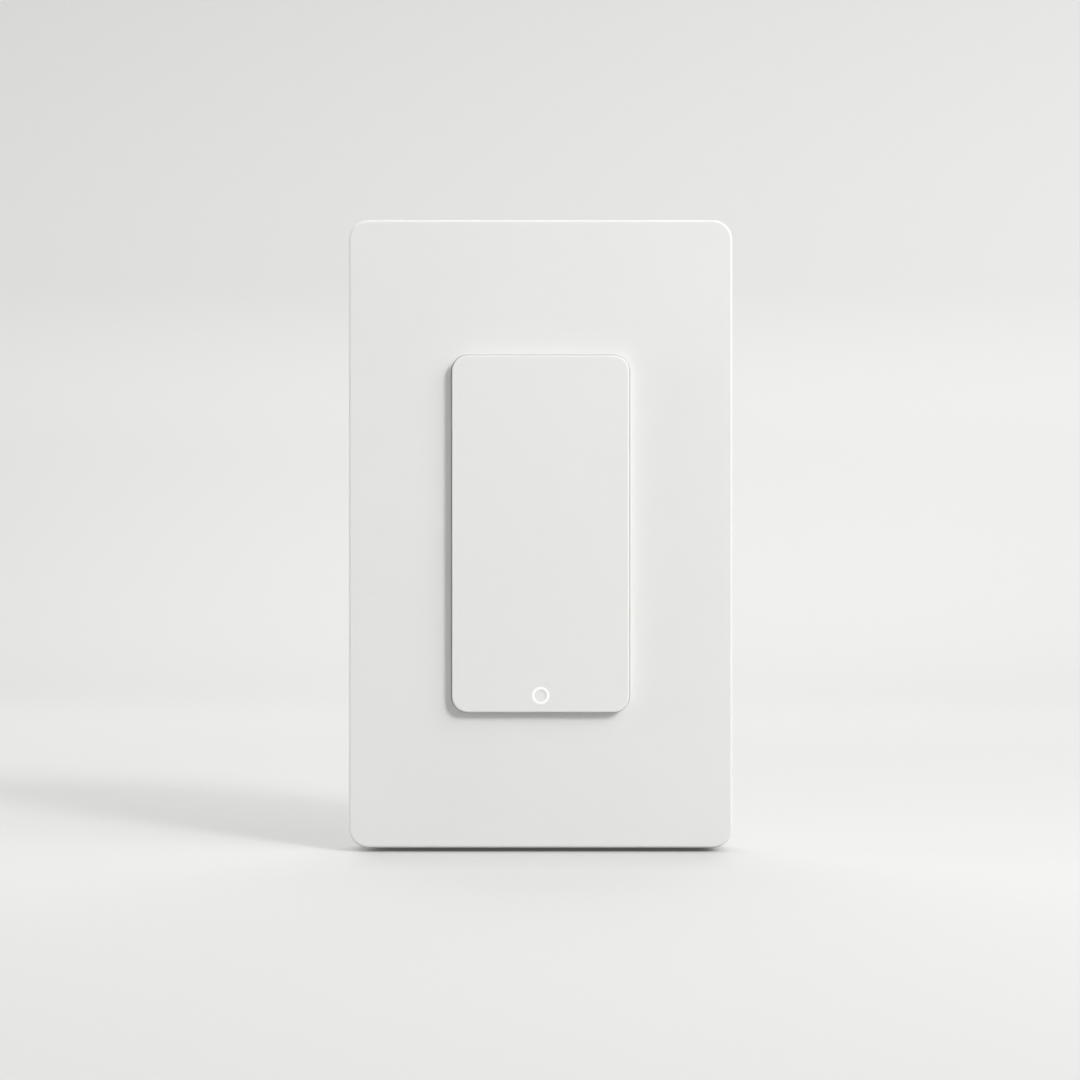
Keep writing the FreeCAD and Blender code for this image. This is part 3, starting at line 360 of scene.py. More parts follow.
# %% Paper on the sweep
def paper_material():
    material, tree, shader = new_material("sweep_paper", PAPER_COLOUR, 0.95, Specular_IOR_Level=0.1)
    place = object_place(tree)
    parts = add_node(tree, "ShaderNodeSeparateXYZ", _0=place).outputs
    fibre = add_node(tree, "ShaderNodeTexNoise", Vector=place, Scale=900.0, Detail=4.0, Roughness=0.6)
    add_relief(tree, shader, fibre.outputs["Fac"], 0.02)
    tilt = calc(tree, "MULTIPLY", parts["X"], PAPER_GLOW_TILT)
    glow = calc(tree, "MULTIPLY_ADD", tilt, remap(tree, parts["Y"], 0.0, FULL_TILT_DEPTH),
                curve_node(tree, parts["Y"], PAPER_GLOW_BY_DEPTH))
    kept = calc(tree, "MULTIPLY", glow, contact_shade(tree, parts["X"], parts["Y"]))
    shader.inputs["Emission Color"].default_value = PAPER_GLOW_COLOUR
    tree.links.new(calc(tree, "MULTIPLY", kept, seen_directly(tree)), shader.inputs["Emission Strength"])
    return material


sweep = finish_mesh("sweep", make_sweep(), paper_material(), 60.0)

# %% [markdown]
# ## The camera
#
# The plate's sides are parallel in the photograph and none of its edges shows a side face.
# So the camera stands straight in front, a little far away, with a long lens.
# The plate's width in pixels gives the distance: 196.6 mm of the plate's plane fills the frame.

# %% The camera
LENS_MM = 100.0
SENSOR_MM = 36.0
FRAME_WIDTH = 196.6 * MM
FACE_DEPTH = 11.8 * MM
CAMERA_ACROSS, CAMERA_UP = -0.13 * MM, -1.1 * MM

camera_data = bpy.data.cameras.new("camera")
camera_data.lens = LENS_MM
camera_data.sensor_width = SENSOR_MM
camera_data.clip_start = 0.01
camera_data.clip_end = 20.0
camera = bpy.data.objects.new("camera", camera_data)
bpy.context.scene.collection.objects.link(camera)
distance = FRAME_WIDTH * LENS_MM / SENSOR_MM
camera.location = (CAMERA_ACROSS, -FACE_DEPTH - distance, CAMERA_UP)
camera.rotation_euler = (math.radians(90.0), 0.0, 0.0)
bpy.context.scene.camera = camera
print(f"camera {distance:.3f} m from the plate's face")

# %% [markdown]
# ## The light
#
# The paddle throws a narrow shadow to its left and below it, and the whole switch throws a pale one on the
# floor, to the left and behind. So the key lamp stands in front, to the right, and a little above.
# A softer lamp beside it fills the right edges, one at the left gives the left edges their light, and one
# behind keeps the back readable when the switch is turned round.
# The shadows are weak, so a good part of the light comes from everywhere: that is the world.
#
# The key and the left lamp are suns. A sun lights a small object as a far softbox does, and it leaves no
# hot spot on the paper. Its angle says how large the softbox looks from the switch, and so how soft its
# shadow is. The side lamp is a real square close by, because the photograph's plate is brighter at its
# right. The rear lamp is a square too: it hangs between the switch and the paper's wall, which would hide
# a sun.

# %% Two kinds of lamp
def aim_lamp(name, data, azimuth, elevation, reach):
    """Put a lamp in a direction from the switch, in degrees, and make it look back at it."""
    lamp = bpy.data.objects.new(name, data)
    bpy.context.scene.collection.objects.link(lamp)
    turn, lift = math.radians(azimuth), math.radians(elevation)
    towards = Vector((math.sin(turn) * math.cos(lift), -math.cos(turn) * math.cos(lift), math.sin(lift)))
    lamp.location = towards * reach
    lamp.rotation_mode = "QUATERNION"
    lamp.rotation_quaternion = towards.to_track_quat("Z", "Y")
    print(f"{name} at {azimuth:.1f} degrees round and {elevation:.1f} up")


def soft_sun(name, azimuth, elevation, strength, width):
    """A far lamp; its width is the angle that it fills, in degrees."""
    data = bpy.data.lights.new(name, "SUN")
    data.energy = strength
    data.angle = math.radians(width)
    aim_lamp(name, data, azimuth, elevation, 1.0)


def near_square(name, azimuth, elevation, reach, size, power):
    """A square lamp; its reach and size are in metres."""
    data = bpy.data.lights.new(name, "AREA")
    data.shape = "SQUARE"
    data.size = size
    data.energy = power
    aim_lamp(name, data, azimuth, elevation, reach)


# %% The lamps
soft_sun("key_lamp", 38.5, 29.0, strength=1.48, width=13.5)
soft_sun("left_lamp", -88.0, 8.0, strength=1.00, width=24.0)
near_square("side_lamp", 52.0, 32.0, reach=0.55, size=0.4, power=1.6)
near_square("rear_lamp", 180.0, 45.0, reach=0.75, size=0.7, power=3.3)

# %% The world
SKY_COLOUR = (0.99, 0.995, 1.0, 1.0)
SKY_LIGHT, SKY_SEEN = 0.43, 0.80

world = bpy.data.worlds.new("studio")
bpy.context.scene.world = world
world.use_nodes = True
sky = world.node_tree
background = sky.nodes["Background"]
background.inputs["Color"].default_value = SKY_COLOUR
sky_strength = remap(sky, seen_directly(sky), 0.0, 1.0, SKY_LIGHT, SKY_SEEN)
sky.links.new(sky_strength, background.inputs["Strength"])
bpy.context.scene.view_settings.view_transform = "Standard"
print("world lights at", SKY_LIGHT, "and looks like", SKY_SEEN)

# %% [markdown]
# ## Shared effects
#
# Moulded plastic looks real when three faint things are there: a fine spark-eroded grain from the mould,
# a slow drift of tone across the part, and a roughness that isn't quite even. Metal parts this small are
# rolled or drawn, which leaves fine lines along one axis. Noise that is worked out from the place gives all
# that in the right size on every piece, and needs no unwrapping as an image would.

# %% Mould grain
def build_mould_grain():
    """Height of a fine mould texture; Pitch is the size of a grain in millimetres."""
    tree, start, end = new_group("mould_grain", [("Pitch", "Float", 0.3), ("Soft Share", "Float", 0.4)],
                                 [("Height", "Float")])
    place = object_place(tree)
    rate = calc(tree, "DIVIDE", 1.0 / MM, start.outputs["Pitch"])
    slow_rate = calc(tree, "MULTIPLY", rate, 0.23)
    fine = add_node(tree, "ShaderNodeTexNoise", Vector=place, Scale=rate, Detail=2.0, Roughness=0.55)
    slow = add_node(tree, "ShaderNodeTexNoise", Vector=place, Scale=slow_rate, Detail=1.0)
    height = add_node(tree, "ShaderNodeMix", {"data_type": "FLOAT"}, Factor=start.outputs["Soft Share"],
                      _2=fine.outputs["Fac"], _3=slow.outputs["Fac"])
    tree.links.new(height.outputs[0], end.inputs["Height"])
    return tree


# %% Tone drift
def build_tone_drift():
    """A colour that wanders slowly between two shades; Patch is the size of a patch in millimetres."""
    tree, start, end = new_group(
        "tone_drift", [("Colour", "Color", (0.8, 0.8, 0.8, 1.0)),
                       ("Far Colour", "Color", (0.7, 0.7, 0.7, 1.0)),
                       ("Patch", "Float", 30.0), ("Amount", "Float", 0.5)], [("Colour", "Color")])
    rate = calc(tree, "DIVIDE", 1.0 / MM, start.outputs["Patch"])
    cloud = add_node(tree, "ShaderNodeTexNoise", Vector=object_place(tree), Scale=rate, Detail=3.0,
                     Roughness=0.5)
    mask = remap(tree, cloud.outputs["Fac"], 0.35, 0.65)
    share = calc(tree, "MULTIPLY", mask, start.outputs["Amount"])
    mixed = mix_colours(tree, share, start.outputs["Colour"], start.outputs["Far Colour"])
    tree.links.new(mixed, end.inputs["Colour"])
    return tree


# %% Drawn metal
def build_drawn_lines():
    """Fine parallel lines; Along is small on the axis that they follow, and Pitch is in millimetres."""
    tree, start, end = new_group(
        "drawn_metal", [("Along", "Vector", (1.0, 0.05, 1.0)), ("Pitch", "Float", 0.1)],
        [("Lines", "Float"), ("Roughness", "Float")])
    squeezed = calc_vector(tree, "MULTIPLY", object_place(tree), start.outputs["Along"])
    rate = calc(tree, "DIVIDE", 1.0 / MM, start.outputs["Pitch"])
    lines = add_node(tree, "ShaderNodeTexNoise", Vector=squeezed, Scale=rate, Detail=3.0).outputs["Fac"]
    tree.links.new(lines, end.inputs["Lines"])
    tree.links.new(remap(tree, lines, 0.3, 0.7, 0.22, 0.42), end.inputs["Roughness"])
    return tree


MOULD_GRAIN = build_mould_grain()
TONE_DRIFT = build_tone_drift()
DRAWN_LINES = build_drawn_lines()
print("shared effects:", [group.name for group in bpy.data.node_groups])

# %% [markdown]
# ## The finishes
#
# The record of the part names sixteen finishes, and the liners of the adhesive pads add a seventeenth.
# Each becomes one material, and every CAD node takes the one that its own row in the record names. The
# plastics, the rubber and the foam differ only by shade, grain and gloss, so one function makes them all.
# The plate and the paddle are satin: fine grain, low gloss, and a little light that goes in and comes out
# again, which softens the edges as it does in a real white moulding. The cover and the bracket are
# coarser.

# %% Moulded plastics
def moulded_plastic(name, colour, far_colour, roughness, pitch, relief, patch=30.0, gloss=0.5, soft=0.0):
    """Plastic with mould grain, tone drift and an uneven roughness; pitch, relief and patch are in mm."""
    material, tree, shader = new_material(name, colour, roughness, Specular_IOR_Level=gloss,
                                          Subsurface_Weight=soft, Subsurface_Scale=0.5 * MM)
    shader.inputs["Subsurface Radius"].default_value = (1.0, 0.95, 0.85)
    drift = place_group(tree, TONE_DRIFT, Colour=(*colour, 1.0), Far_Colour=(*far_colour, 1.0),
                        Patch=patch, Amount=0.6)
    tree.links.new(drift.outputs["Colour"], shader.inputs["Base Color"])
    grain = place_group(tree, MOULD_GRAIN, Pitch=pitch).outputs["Height"]
    uneven = remap(tree, grain, 0.3, 0.7, roughness - 0.05, roughness + 0.06)
    tree.links.new(uneven, shader.inputs["Roughness"])
    add_relief(tree, shader, grain, relief)
    return material


# Each row holds colour, far colour, roughness, pitch and relief, and maybe patch, gloss and soft share.
MOULDED = {
    "plate_plastic": ((0.752, 0.750, 0.738), (0.738, 0.736, 0.724), 0.48, 0.35, 0.004, 30.0, 0.5, 0.35),
    "paddle_plastic": ((0.756, 0.760, 0.742), (0.748, 0.752, 0.734), 0.46, 0.30, 0.004, 30.0, 0.5, 0.35),
    "cover_plastic": ((0.70, 0.705, 0.69), (0.67, 0.675, 0.66), 0.55, 0.45, 0.02),
    "bracket_plastic": ((0.66, 0.665, 0.65), (0.63, 0.635, 0.62), 0.58, 0.5, 0.03),
    "dark_plastic": ((0.035, 0.035, 0.04), (0.05, 0.05, 0.055), 0.45, 0.3, 0.01),
    "stem_plastic": ((0.12, 0.12, 0.13), (0.15, 0.15, 0.16), 0.4, 0.2, 0.006),
    "capacitor_ceramic": ((0.42, 0.30, 0.20), (0.36, 0.26, 0.18), 0.5, 0.15, 0.006, 2.0),
    "soft_rubber": ((0.20, 0.20, 0.21), (0.24, 0.24, 0.25), 0.75, 0.25, 0.02, 4.0),
    "pad_foam": ((0.78, 0.78, 0.75), (0.70, 0.70, 0.67), 0.9, 0.35, 0.08, 6.0, 0.2),
}
FINISHES = {name: moulded_plastic(name, *values) for name, values in MOULDED.items()}


# %% Plated and rolled metals
def drawn_metal(name, colour, along, pitch):
    """Metal with fine lines that break up its gloss."""
    material, tree, shader = new_material(name, colour, 0.3, Metallic=1.0)
    lines = place_group(tree, DRAWN_LINES, Along=along, Pitch=pitch)
    tree.links.new(lines.outputs["Roughness"], shader.inputs["Roughness"])
    add_relief(tree, shader, lines.outputs["Lines"], 0.004)
    return material


# Each row holds the colour, the axis of the lines as their smallest factor, and the lines' pitch.
METALS = {
    "plated_steel": ((0.62, 0.62, 0.64), (1.0, 1.0, 0.2), 0.08),
    "cell_steel": ((0.66, 0.66, 0.67), (0.1, 1.0, 1.0), 0.15),
    "spring_steel": ((0.56, 0.56, 0.58), (1.0, 0.3, 0.1), 0.08),
    "antenna_metal": ((0.70, 0.47, 0.22), (0.1, 1.0, 1.0), 0.1),
}
FINISHES.update({name: drawn_metal(name, *values) for name, values in METALS.items()})
print("plastics and metals:", len(FINISHES))


# %% [markdown]
# The circuit board's solder mask is a gloss coat over copper tracks. The tracks show through it as slightly
# lighter, slightly raised lines. A brick pattern gives lines that turn at right angles, as tracks do.
# The lamp on the board is a block of clear resin that has yellowed unevenly.

# %% Solder mask and resin
def solder_mask():
    material, tree, shader = new_material("board_green", (0.02, 0.16, 0.07), 0.35, Coat_Weight=0.5)
    turned = add_node(tree, "ShaderNodeMapping", {"vector_type": "POINT"}, Vector=object_place(tree),
                      Rotation=(math.radians(90.0), 0.0, 0.0))
    tracks = add_node(tree, "ShaderNodeTexBrick", Vector=turned.outputs[0], Scale=260.0, Color1=(0, 0, 0, 1),
                      Color2=(0.25, 0.25, 0.25, 1), Mortar=(1, 1, 1, 1), Mortar_Size=0.06).outputs["Color"]
    mixed = mix_colours(tree, tracks, (0.012, 0.13, 0.055, 1.0), (0.05, 0.30, 0.12, 1.0))
    tree.links.new(mixed, shader.inputs["Base Color"])
    add_relief(tree, shader, tracks, 0.02)
    return material


def lamp_resin():
    material, tree, shader = new_material("led_resin", (0.85, 0.82, 0.60), 0.25, Subsurface_Weight=0.3)
    drift = place_group(tree, TONE_DRIFT, Colour=(0.88, 0.86, 0.66, 1.0), Far_Colour=(0.78, 0.72, 0.45, 1.0),
                        Patch=0.8, Amount=0.7)
    tree.links.new(drift.outputs["Colour"], shader.inputs["Base Color"])
    return material


FINISHES["board_green"] = solder_mask()
FINISHES["led_resin"] = lamp_resin()
print("finishes so far:", len(FINISHES))

# %% [markdown]
# ## The lit ring
#
# A lamp behind the paddle shines through a ring of milky plastic. The ring is brightest along the middle
# of its face, because the light there has the straightest way, and a little of it gets into the white
# plastic beside. A lamp in the scene could do it, but a weak emission that follows the distance from the
# ring's axis looks the same and brings no noise.

# %% Light in the ring
ring_low, ring_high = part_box("ring_window")
RING_UP = ring_low.z + 0.5 * (ring_high.z - ring_low.z)
RING_INNER, RING_MIDDLE, RING_OUTER = 1.05 * MM, 1.36 * MM, 1.65 * MM
RING_GLOW, SPILL_GLOW = 0.20, 0.03
SPILL_REACH = 0.4 * MM
FLAT_TO_WALL = (1.0, 0.0, 1.0)


def ring_distance(tree):
    """Distance from the ring's axis, which is square to the wall."""
    moved = calc_vector(tree, "SUBTRACT", object_place(tree), (0.0, 0.0, RING_UP))
    return calc_vector(tree, "LENGTH", calc_vector(tree, "MULTIPLY", moved, FLAT_TO_WALL))


def lit_guide():
    material, tree, shader = new_material("ring_light", (0.80, 0.81, 0.78), 0.3)
    far = ring_distance(tree)
    edge = 0.1 * MM
    outward = remap(tree, far, RING_INNER - edge, RING_MIDDLE, 0.0, RING_GLOW, "SMOOTHSTEP")
    inward = remap(tree, far, RING_MIDDLE, RING_OUTER + edge, RING_GLOW, 0.0, "SMOOTHSTEP")
    cloud = add_node(tree, "ShaderNodeTexNoise", Vector=object_place(tree), Scale=900.0, Detail=1.0)
    colour = mix_colours(tree, cloud.outputs["Fac"], (0.94, 1.0, 0.92, 1.0), (1.0, 1.0, 0.96, 1.0))
    tree.links.new(colour, shader.inputs["Emission Color"])
    tree.links.new(calc(tree, "MINIMUM", outward, inward), shader.inputs["Emission Strength"])
    return material


def light_through_paddle(material):
    """A little of the ring's light shows through the white plastic inside and round the ring."""
    tree = material.node_tree
    shader = tree.nodes["Principled BSDF"]
    glow = remap(tree, ring_distance(tree), RING_INNER, RING_OUTER + SPILL_REACH, SPILL_GLOW, 0.0,
                 "SMOOTHSTEP")
    shader.inputs["Emission Color"].default_value = (1.0, 0.97, 0.88, 1.0)
    tree.links.new(glow, shader.inputs["Emission Strength"])


FINISHES["ring_light"] = lit_guide()
light_through_paddle(FINISHES["paddle_plastic"])
print(f"ring at {RING_UP / MM:.1f} mm, from {RING_INNER / MM} to {RING_OUTER / MM} mm")

# %% [markdown]
# ## Painted shade at the rim of the opening
#
# The gap round the paddle is only a tenth of a millimetre wide. Little light gets into it, so the plate's
# rim lies in a thin dark line of shade. It is widest at the top and the left, where the paddle leaves the
# most room. The gap has no room for darker geometry, so the shade is painted into the plate's colour with a
# mask: the distance to a rounded rectangle, which is the paddle's outline.

# %% Painted shade at the rim
RIM_SHADE_REACH = 0.30 * MM
# The grey of the painted shade along the opening's rim.
RIM_SHADE_GREY = (0.42, 0.42, 0.41, 1.0)
RIM_MIDDLE = (-0.06 * MM, 0.0, 0.03 * MM)
PADDLE_SIDE, PADDLE_END, PADDLE_CORNER = 16.1 * MM, 32.4 * MM, 2.9 * MM


def build_rim_shade_mask():
    """Where shade is painted: one at the opening's rim and zero from Reach outward."""
    tree, start, end = new_group("opening_rim_shade", [("Reach", "Float", RIM_SHADE_REACH)], [("Mask", "Float")])
    straight = (PADDLE_SIDE - PADDLE_CORNER, 0.0, PADDLE_END - PADDLE_CORNER)
    flat = calc_vector(tree, "MULTIPLY", object_place(tree), FLAT_TO_WALL)
    folded = calc_vector(tree, "ABSOLUTE", calc_vector(tree, "SUBTRACT", flat, RIM_MIDDLE))
    past = calc_vector(tree, "MAXIMUM", calc_vector(tree, "SUBTRACT", folded, straight), (0.0, 0.0, 0.0))
    off = calc(tree, "SUBTRACT", calc_vector(tree, "LENGTH", past), PADDLE_CORNER)
    share = calc(tree, "DIVIDE", off, start.outputs["Reach"])
    tree.links.new(remap(tree, share, 0.45, 1.0, 1.0, 0.0, "SMOOTHSTEP"), end.inputs["Mask"])
    return tree


def paint_rim_shade(material):
    """Paint shade: mix a grey into the plate's colour where the mask says so."""
    tree = material.node_tree
    socket = tree.nodes["Principled BSDF"].inputs["Base Color"]
    clean = socket.links[0].from_socket
    rim = place_group(tree, build_rim_shade_mask(), Reach=RIM_SHADE_REACH)
    tree.links.new(mix_colours(tree, rim.outputs["Mask"], clean, RIM_SHADE_GREY), socket)


# Painted shade along the rim of the paddle's opening.
paint_rim_shade(FINISHES["plate_plastic"])
# This is how far the painted shade reaches from the paddle.
print(f"dust reaches {RIM_SHADE_REACH / MM:.2f} mm from the paddle")

# %% [markdown]
# Now every CAD node takes its finish. The record already says which node has which, so a loop is enough.

# %% Give each CAD node its finish
for row in frame["record"]["subparts"]:
    node = frame["nodes"][row["node"]]
    node.data.materials.clear()
    node.data.materials.append(FINISHES[row["material_slot"]])
print("finishes:", len(FINISHES))

# %% [markdown]
# ## The four housing screws
#
# From behind, four pan-head screws sit in pockets at the corners. A plain CAD solid stands for each. A
# real head has a rounded rim and a cross recess with sloping sides, and its shank carries a thread. One
# profile is lathed for both. The thread's ridges are rings, which no eye can tell from a helix at this
# size. Two crossed wedges cut the recess with a boolean, as the punch does in the factory.

# %% Screw sizes
SCREW_ACROSS, SCREW_UP = 29.36 * MM, 50.0 * MM
HEAD_BACK, HEAD_SEAT, SCREW_TIP = 1.0 * MM, 2.2 * MM, 7.1 * MM
HEAD_RADIUS, SHANK_RADIUS, HEAD_ROUND = 1.9 * MM, 0.95 * MM, 0.35 * MM
THREAD_PITCH, THREAD_DEPTH, TIP_LENGTH = 0.35 * MM, 0.12 * MM, 0.2 * MM
RECESS_TOP, RECESS_FLOOR = (-0.2 * MM, 1.15 * MM, 0.26 * MM), (0.75 * MM, 0.45 * MM, 0.14 * MM)
screw_low, screw_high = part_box("housing_screws")
print("CAD screws span depths", round(-screw_high.y / MM, 2), "to", round(-screw_low.y / MM, 2))


# %% Screw heads and shanks
def screw_profile(head, seat, tip, sign):
    """From the middle of the head to the tip; sign is 1 where the screw points to the front."""
    points = [(0.0, head)]
    for step in range(7):
        angle = 0.5 * math.pi * step / 6
        points.append((HEAD_RADIUS - HEAD_ROUND + HEAD_ROUND * math.sin(angle),
                       head + sign * HEAD_ROUND * (1.0 - math.cos(angle))))
    points += [(HEAD_RADIUS, seat), (SHANK_RADIUS, seat)]
    root = SHANK_RADIUS - THREAD_DEPTH
    for turn in range(int(abs(tip - seat) / THREAD_PITCH) - 1):
        start = seat + sign * (turn + 0.5) * THREAD_PITCH
        points += [(root, start), (SHANK_RADIUS, start + sign * 0.5 * THREAD_PITCH)]
    return points + [(root, tip - sign * TIP_LENGTH), (0.0, tip)]


def cross_punch(across, up, head, sign):
    """Two crossed wedges that narrow as they go in; each end is (depth, half length, half width)."""
    mesh = bmesh.new()
    for turn in (0.0, 0.5 * math.pi):
        rows = []
        for depth, half_long, half_thick in (RECESS_TOP, RECESS_FLOOR):
            row = []
            for x, z in ((-half_long, -half_thick), (half_long, -half_thick),
                         (half_long, half_thick), (-half_long, half_thick)):
                row.append(mesh.verts.new((across + x * math.cos(turn) - z * math.sin(turn),
                                           -(head + sign * depth),
                                           up + x * math.sin(turn) + z * math.cos(turn))))
            rows.append(row)
        skin_rows(mesh, rows)
    return mesh


def make_screw(name, across, up, head, seat, tip, sign=1.0):
    mesh = bmesh.new()
    lathe(mesh, screw_profile(head, seat, tip, sign), across, up, 40)
    screw = finish_mesh(name, mesh, FINISHES["plated_steel"], 40.0)
    punch = finish_mesh(name + "_punch", cross_punch(across, up, head, sign), FINISHES["plated_steel"])
    recess = screw.modifiers.new("recess", "BOOLEAN")
    recess.operation = "DIFFERENCE"
    recess.solver = "EXACT"
    recess.use_self = True
    recess.object = punch
    cut = bpy.data.meshes.new_from_object(screw.evaluated_get(bpy.context.evaluated_depsgraph_get()))
    screw.modifiers.clear()
    screw.data = cut
    bpy.data.objects.remove(punch)
    return screw


# %% Place the housing screws
for side_name, side in (("left", -1.0), ("right", 1.0)):
    for end_name, end in (("low", -1.0), ("high", 1.0)):
        screw = make_screw(f"housing_screw_{side_name}_{end_name}", side * SCREW_ACROSS, end * SCREW_UP,
                           HEAD_BACK, HEAD_SEAT, SCREW_TIP)
        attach(screw, "switch_body")
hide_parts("housing_screws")

# %% [markdown]
# Two more screws of the same make hold the circuit board, driven from the front into posts of the rear
# cover. So the same function makes them with the other sign: their heads look towards the paddle.

# %% Board screws
BOARD_HEAD, BOARD_SEAT, BOARD_TIP = 10.3 * MM, 9.1 * MM, 5.5 * MM
BOARD_SCREWS = (("upper", 11.6 * MM, 21.0 * MM), ("lower", -11.6 * MM, -27.0 * MM))
for end_name, across, up in BOARD_SCREWS:
    screw = make_screw(f"board_screw_{end_name}", across, up, BOARD_HEAD, BOARD_SEAT, BOARD_TIP, sign=-1.0)
    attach(screw, "switch_body")
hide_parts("board_screws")

# %% [markdown]
# ## The coin cell
#
# The CAD gives the cell as one sealed disc. A real one is a steel can with its open edge rolled in over a
# plastic gasket, which holds a smaller lid. The can is the positive pole and looks towards the battery
# door. All three are turned parts, so three profiles are lathed. They touch where the real ones are
# pressed together.

# %% Coin cell
CELL_BACK, CELL_FRONT, CELL_RADIUS = 4.3 * MM, 7.5 * MM, 10.0 * MM
CAN_MOUTH, LID_RADIUS, LID_SKIRT, RING_MARK = 8.8 * MM, 7.7 * MM, 8.35 * MM, 7.2 * MM
LID_SEAT = CELL_FRONT - 0.5 * MM


def rolled(radius, start, end, bulge, steps=6):
    """A quarter turn between two depths, for the can's round rims."""
    points = []
    for step in range(steps + 1):
        angle = 0.5 * math.pi * step / steps
        points.append((radius - bulge + bulge * math.sin(angle),
                       start + (end - start) * (1.0 - math.cos(angle))))
    return points


def can_profile():
    """From the middle of the back, round both rims and in to the lid's seat."""
    groove = CELL_BACK + 0.04 * MM
    engraved = [(0.0, CELL_BACK), (RING_MARK, CELL_BACK), (RING_MARK + 0.08 * MM, groove),
                (RING_MARK + 0.22 * MM, groove), (RING_MARK + 0.3 * MM, CELL_BACK)]
    back_rim = rolled(CELL_RADIUS, CELL_BACK, CELL_BACK + 0.5 * MM, 0.5 * MM)
    front_rim = rolled(CELL_RADIUS, CELL_FRONT - 0.15 * MM, CELL_FRONT - 0.7 * MM, 0.7 * MM)[::-1]
    mouth = [(CAN_MOUTH + 0.15 * MM, CELL_FRONT - 0.15 * MM), (CAN_MOUTH, CELL_FRONT - 0.3 * MM),
             (CAN_MOUTH, LID_SEAT), (0.0, LID_SEAT)]
    return engraved + back_rim + front_rim + mouth


def gasket_profile():
    return [(LID_SKIRT, LID_SEAT), (CAN_MOUTH, LID_SEAT), (CAN_MOUTH - 0.02 * MM, CELL_FRONT - 0.2 * MM),
            (LID_SKIRT + 0.05 * MM, CELL_FRONT - 0.16 * MM), (LID_SKIRT, LID_SEAT)]


def lid_profile():
    return [(0.0, CELL_FRONT), (LID_RADIUS, CELL_FRONT), (LID_RADIUS + 0.35 * MM, CELL_FRONT - 0.07 * MM),
            (LID_SKIRT - 0.05 * MM, CELL_FRONT - 0.3 * MM), (LID_SKIRT, LID_SEAT), (0.0, LID_SEAT)]


# %% Place the cell
for name, profile, finish in (("cell_can", can_profile(), "cell_steel"),
                              ("cell_gasket", gasket_profile(), "dark_plastic"),
                              ("cell_lid", lid_profile(), "cell_steel")):
    mesh = bmesh.new()
    lathe(mesh, profile, steps=96)
    bmesh.ops.remove_doubles(mesh, verts=mesh.verts, dist=1e-7)
    piece = finish_mesh(name, mesh, FINISHES[finish], 30.0)
    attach(piece, "switch_body")
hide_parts("coin_cell")

# %% [markdown]
# ## The chip capacitors
#
# A ceramic chip capacitor is a fired block with a metal cap on each end, and solder climbs a little up
# each cap. Each cap is a slightly larger rounded plate round the block's end, so that the ceramic looks
# set back between them. The six blocks are one mesh and the twelve caps another.

# %% Chip capacitors
CAPACITOR_BACK, CAPACITOR_FRONT = 9.1 * MM, 9.9 * MM
CERAMIC_SIDE, CERAMIC_END, CERAMIC_SETBACK = 0.585 * MM, 0.62 * MM, 0.04 * MM
CAP_SIDE, CAP_HALF_LENGTH, CAP_FROM_MIDDLE = 0.625 * MM, 0.2 * MM, 0.8 * MM
CAPACITOR_PLACES = [(side * 9.6 * MM, up * MM) for side in (-1.0, 1.0) for up in (0.3, 3.5, 6.7)]
ceramic, caps = bmesh.new(), bmesh.new()
for across, up in CAPACITOR_PLACES:
    block = rounded_outline(across - CERAMIC_SIDE, across + CERAMIC_SIDE, up - CERAMIC_END, up + CERAMIC_END,
                            0.05 * MM, 2)
    raise_outline(ceramic, block, CAPACITOR_BACK, CAPACITOR_FRONT - CERAMIC_SETBACK, 0.03 * MM)
    for end in (-1.0, 1.0):
        middle = up + end * CAP_FROM_MIDDLE
        cap = rounded_outline(across - CAP_SIDE, across + CAP_SIDE, middle - CAP_HALF_LENGTH,
                              middle + CAP_HALF_LENGTH, 0.08 * MM, 3)
        raise_outline(caps, cap, CAPACITOR_BACK, CAPACITOR_FRONT, 0.06 * MM)
capacitor_bodies = finish_mesh("capacitor_ceramics", ceramic, FINISHES["capacitor_ceramic"])
capacitor_caps = finish_mesh("capacitor_caps", caps, FINISHES["plated_steel"])
for piece, finish in ((capacitor_bodies, "capacitor_ceramic"), (capacitor_caps, "plated_steel")):
    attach(piece, "switch_body")
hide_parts("chip_capacitors")

# %% [markdown]
# ## The return springs
#
# Two leaves of spring sheet lift the paddle again after a press. Each stands on the board with a flat
# foot, rises to a crest that touches the paddle, and ends in a tip that turns down. A leaf is a line with
# a thickness, so we write the line, round its bends, and push it out to both sides.

# %% Springs: the line of a leaf
SPRING_FOOT_DEPTH, SPRING_SHEET, SPRING_WIDTH = 9.1 * MM, 0.2 * MM, 3.0 * MM
FOOT_LENGTH, TIP_RUN, TIP_DROP, BEND_REACH = 1.6 * MM, 1.0 * MM, 0.8 * MM, 0.45 * MM
spring_low, spring_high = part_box("return_springs")
foot_depth = SPRING_FOOT_DEPTH + 0.5 * SPRING_SHEET
crest_depth = -spring_low.y - 0.5 * SPRING_SHEET
LEAF_LINE = ((spring_low.z, foot_depth), (spring_low.z + FOOT_LENGTH, foot_depth),
             (spring_high.z - TIP_RUN, crest_depth), (spring_high.z, crest_depth - TIP_DROP))
print("crest of a leaf at depth", round(crest_depth / MM, 2))


def round_bends(line, reach, steps=6):
    """Replace each inner corner of a line by a smooth bend that starts and ends that far from it."""
    points = [Vector(line[0])]
    for before, corner, after in zip(line, line[1:], line[2:]):
        before, corner, after = Vector(before), Vector(corner), Vector(after)
        start = corner + (before - corner).normalized() * reach
        end = corner + (after - corner).normalized() * reach
        for step in range(steps + 1):
            share = step / steps
            points.append(start.lerp(corner, share).lerp(corner.lerp(end, share), share))
    return points + [Vector(line[-1])]


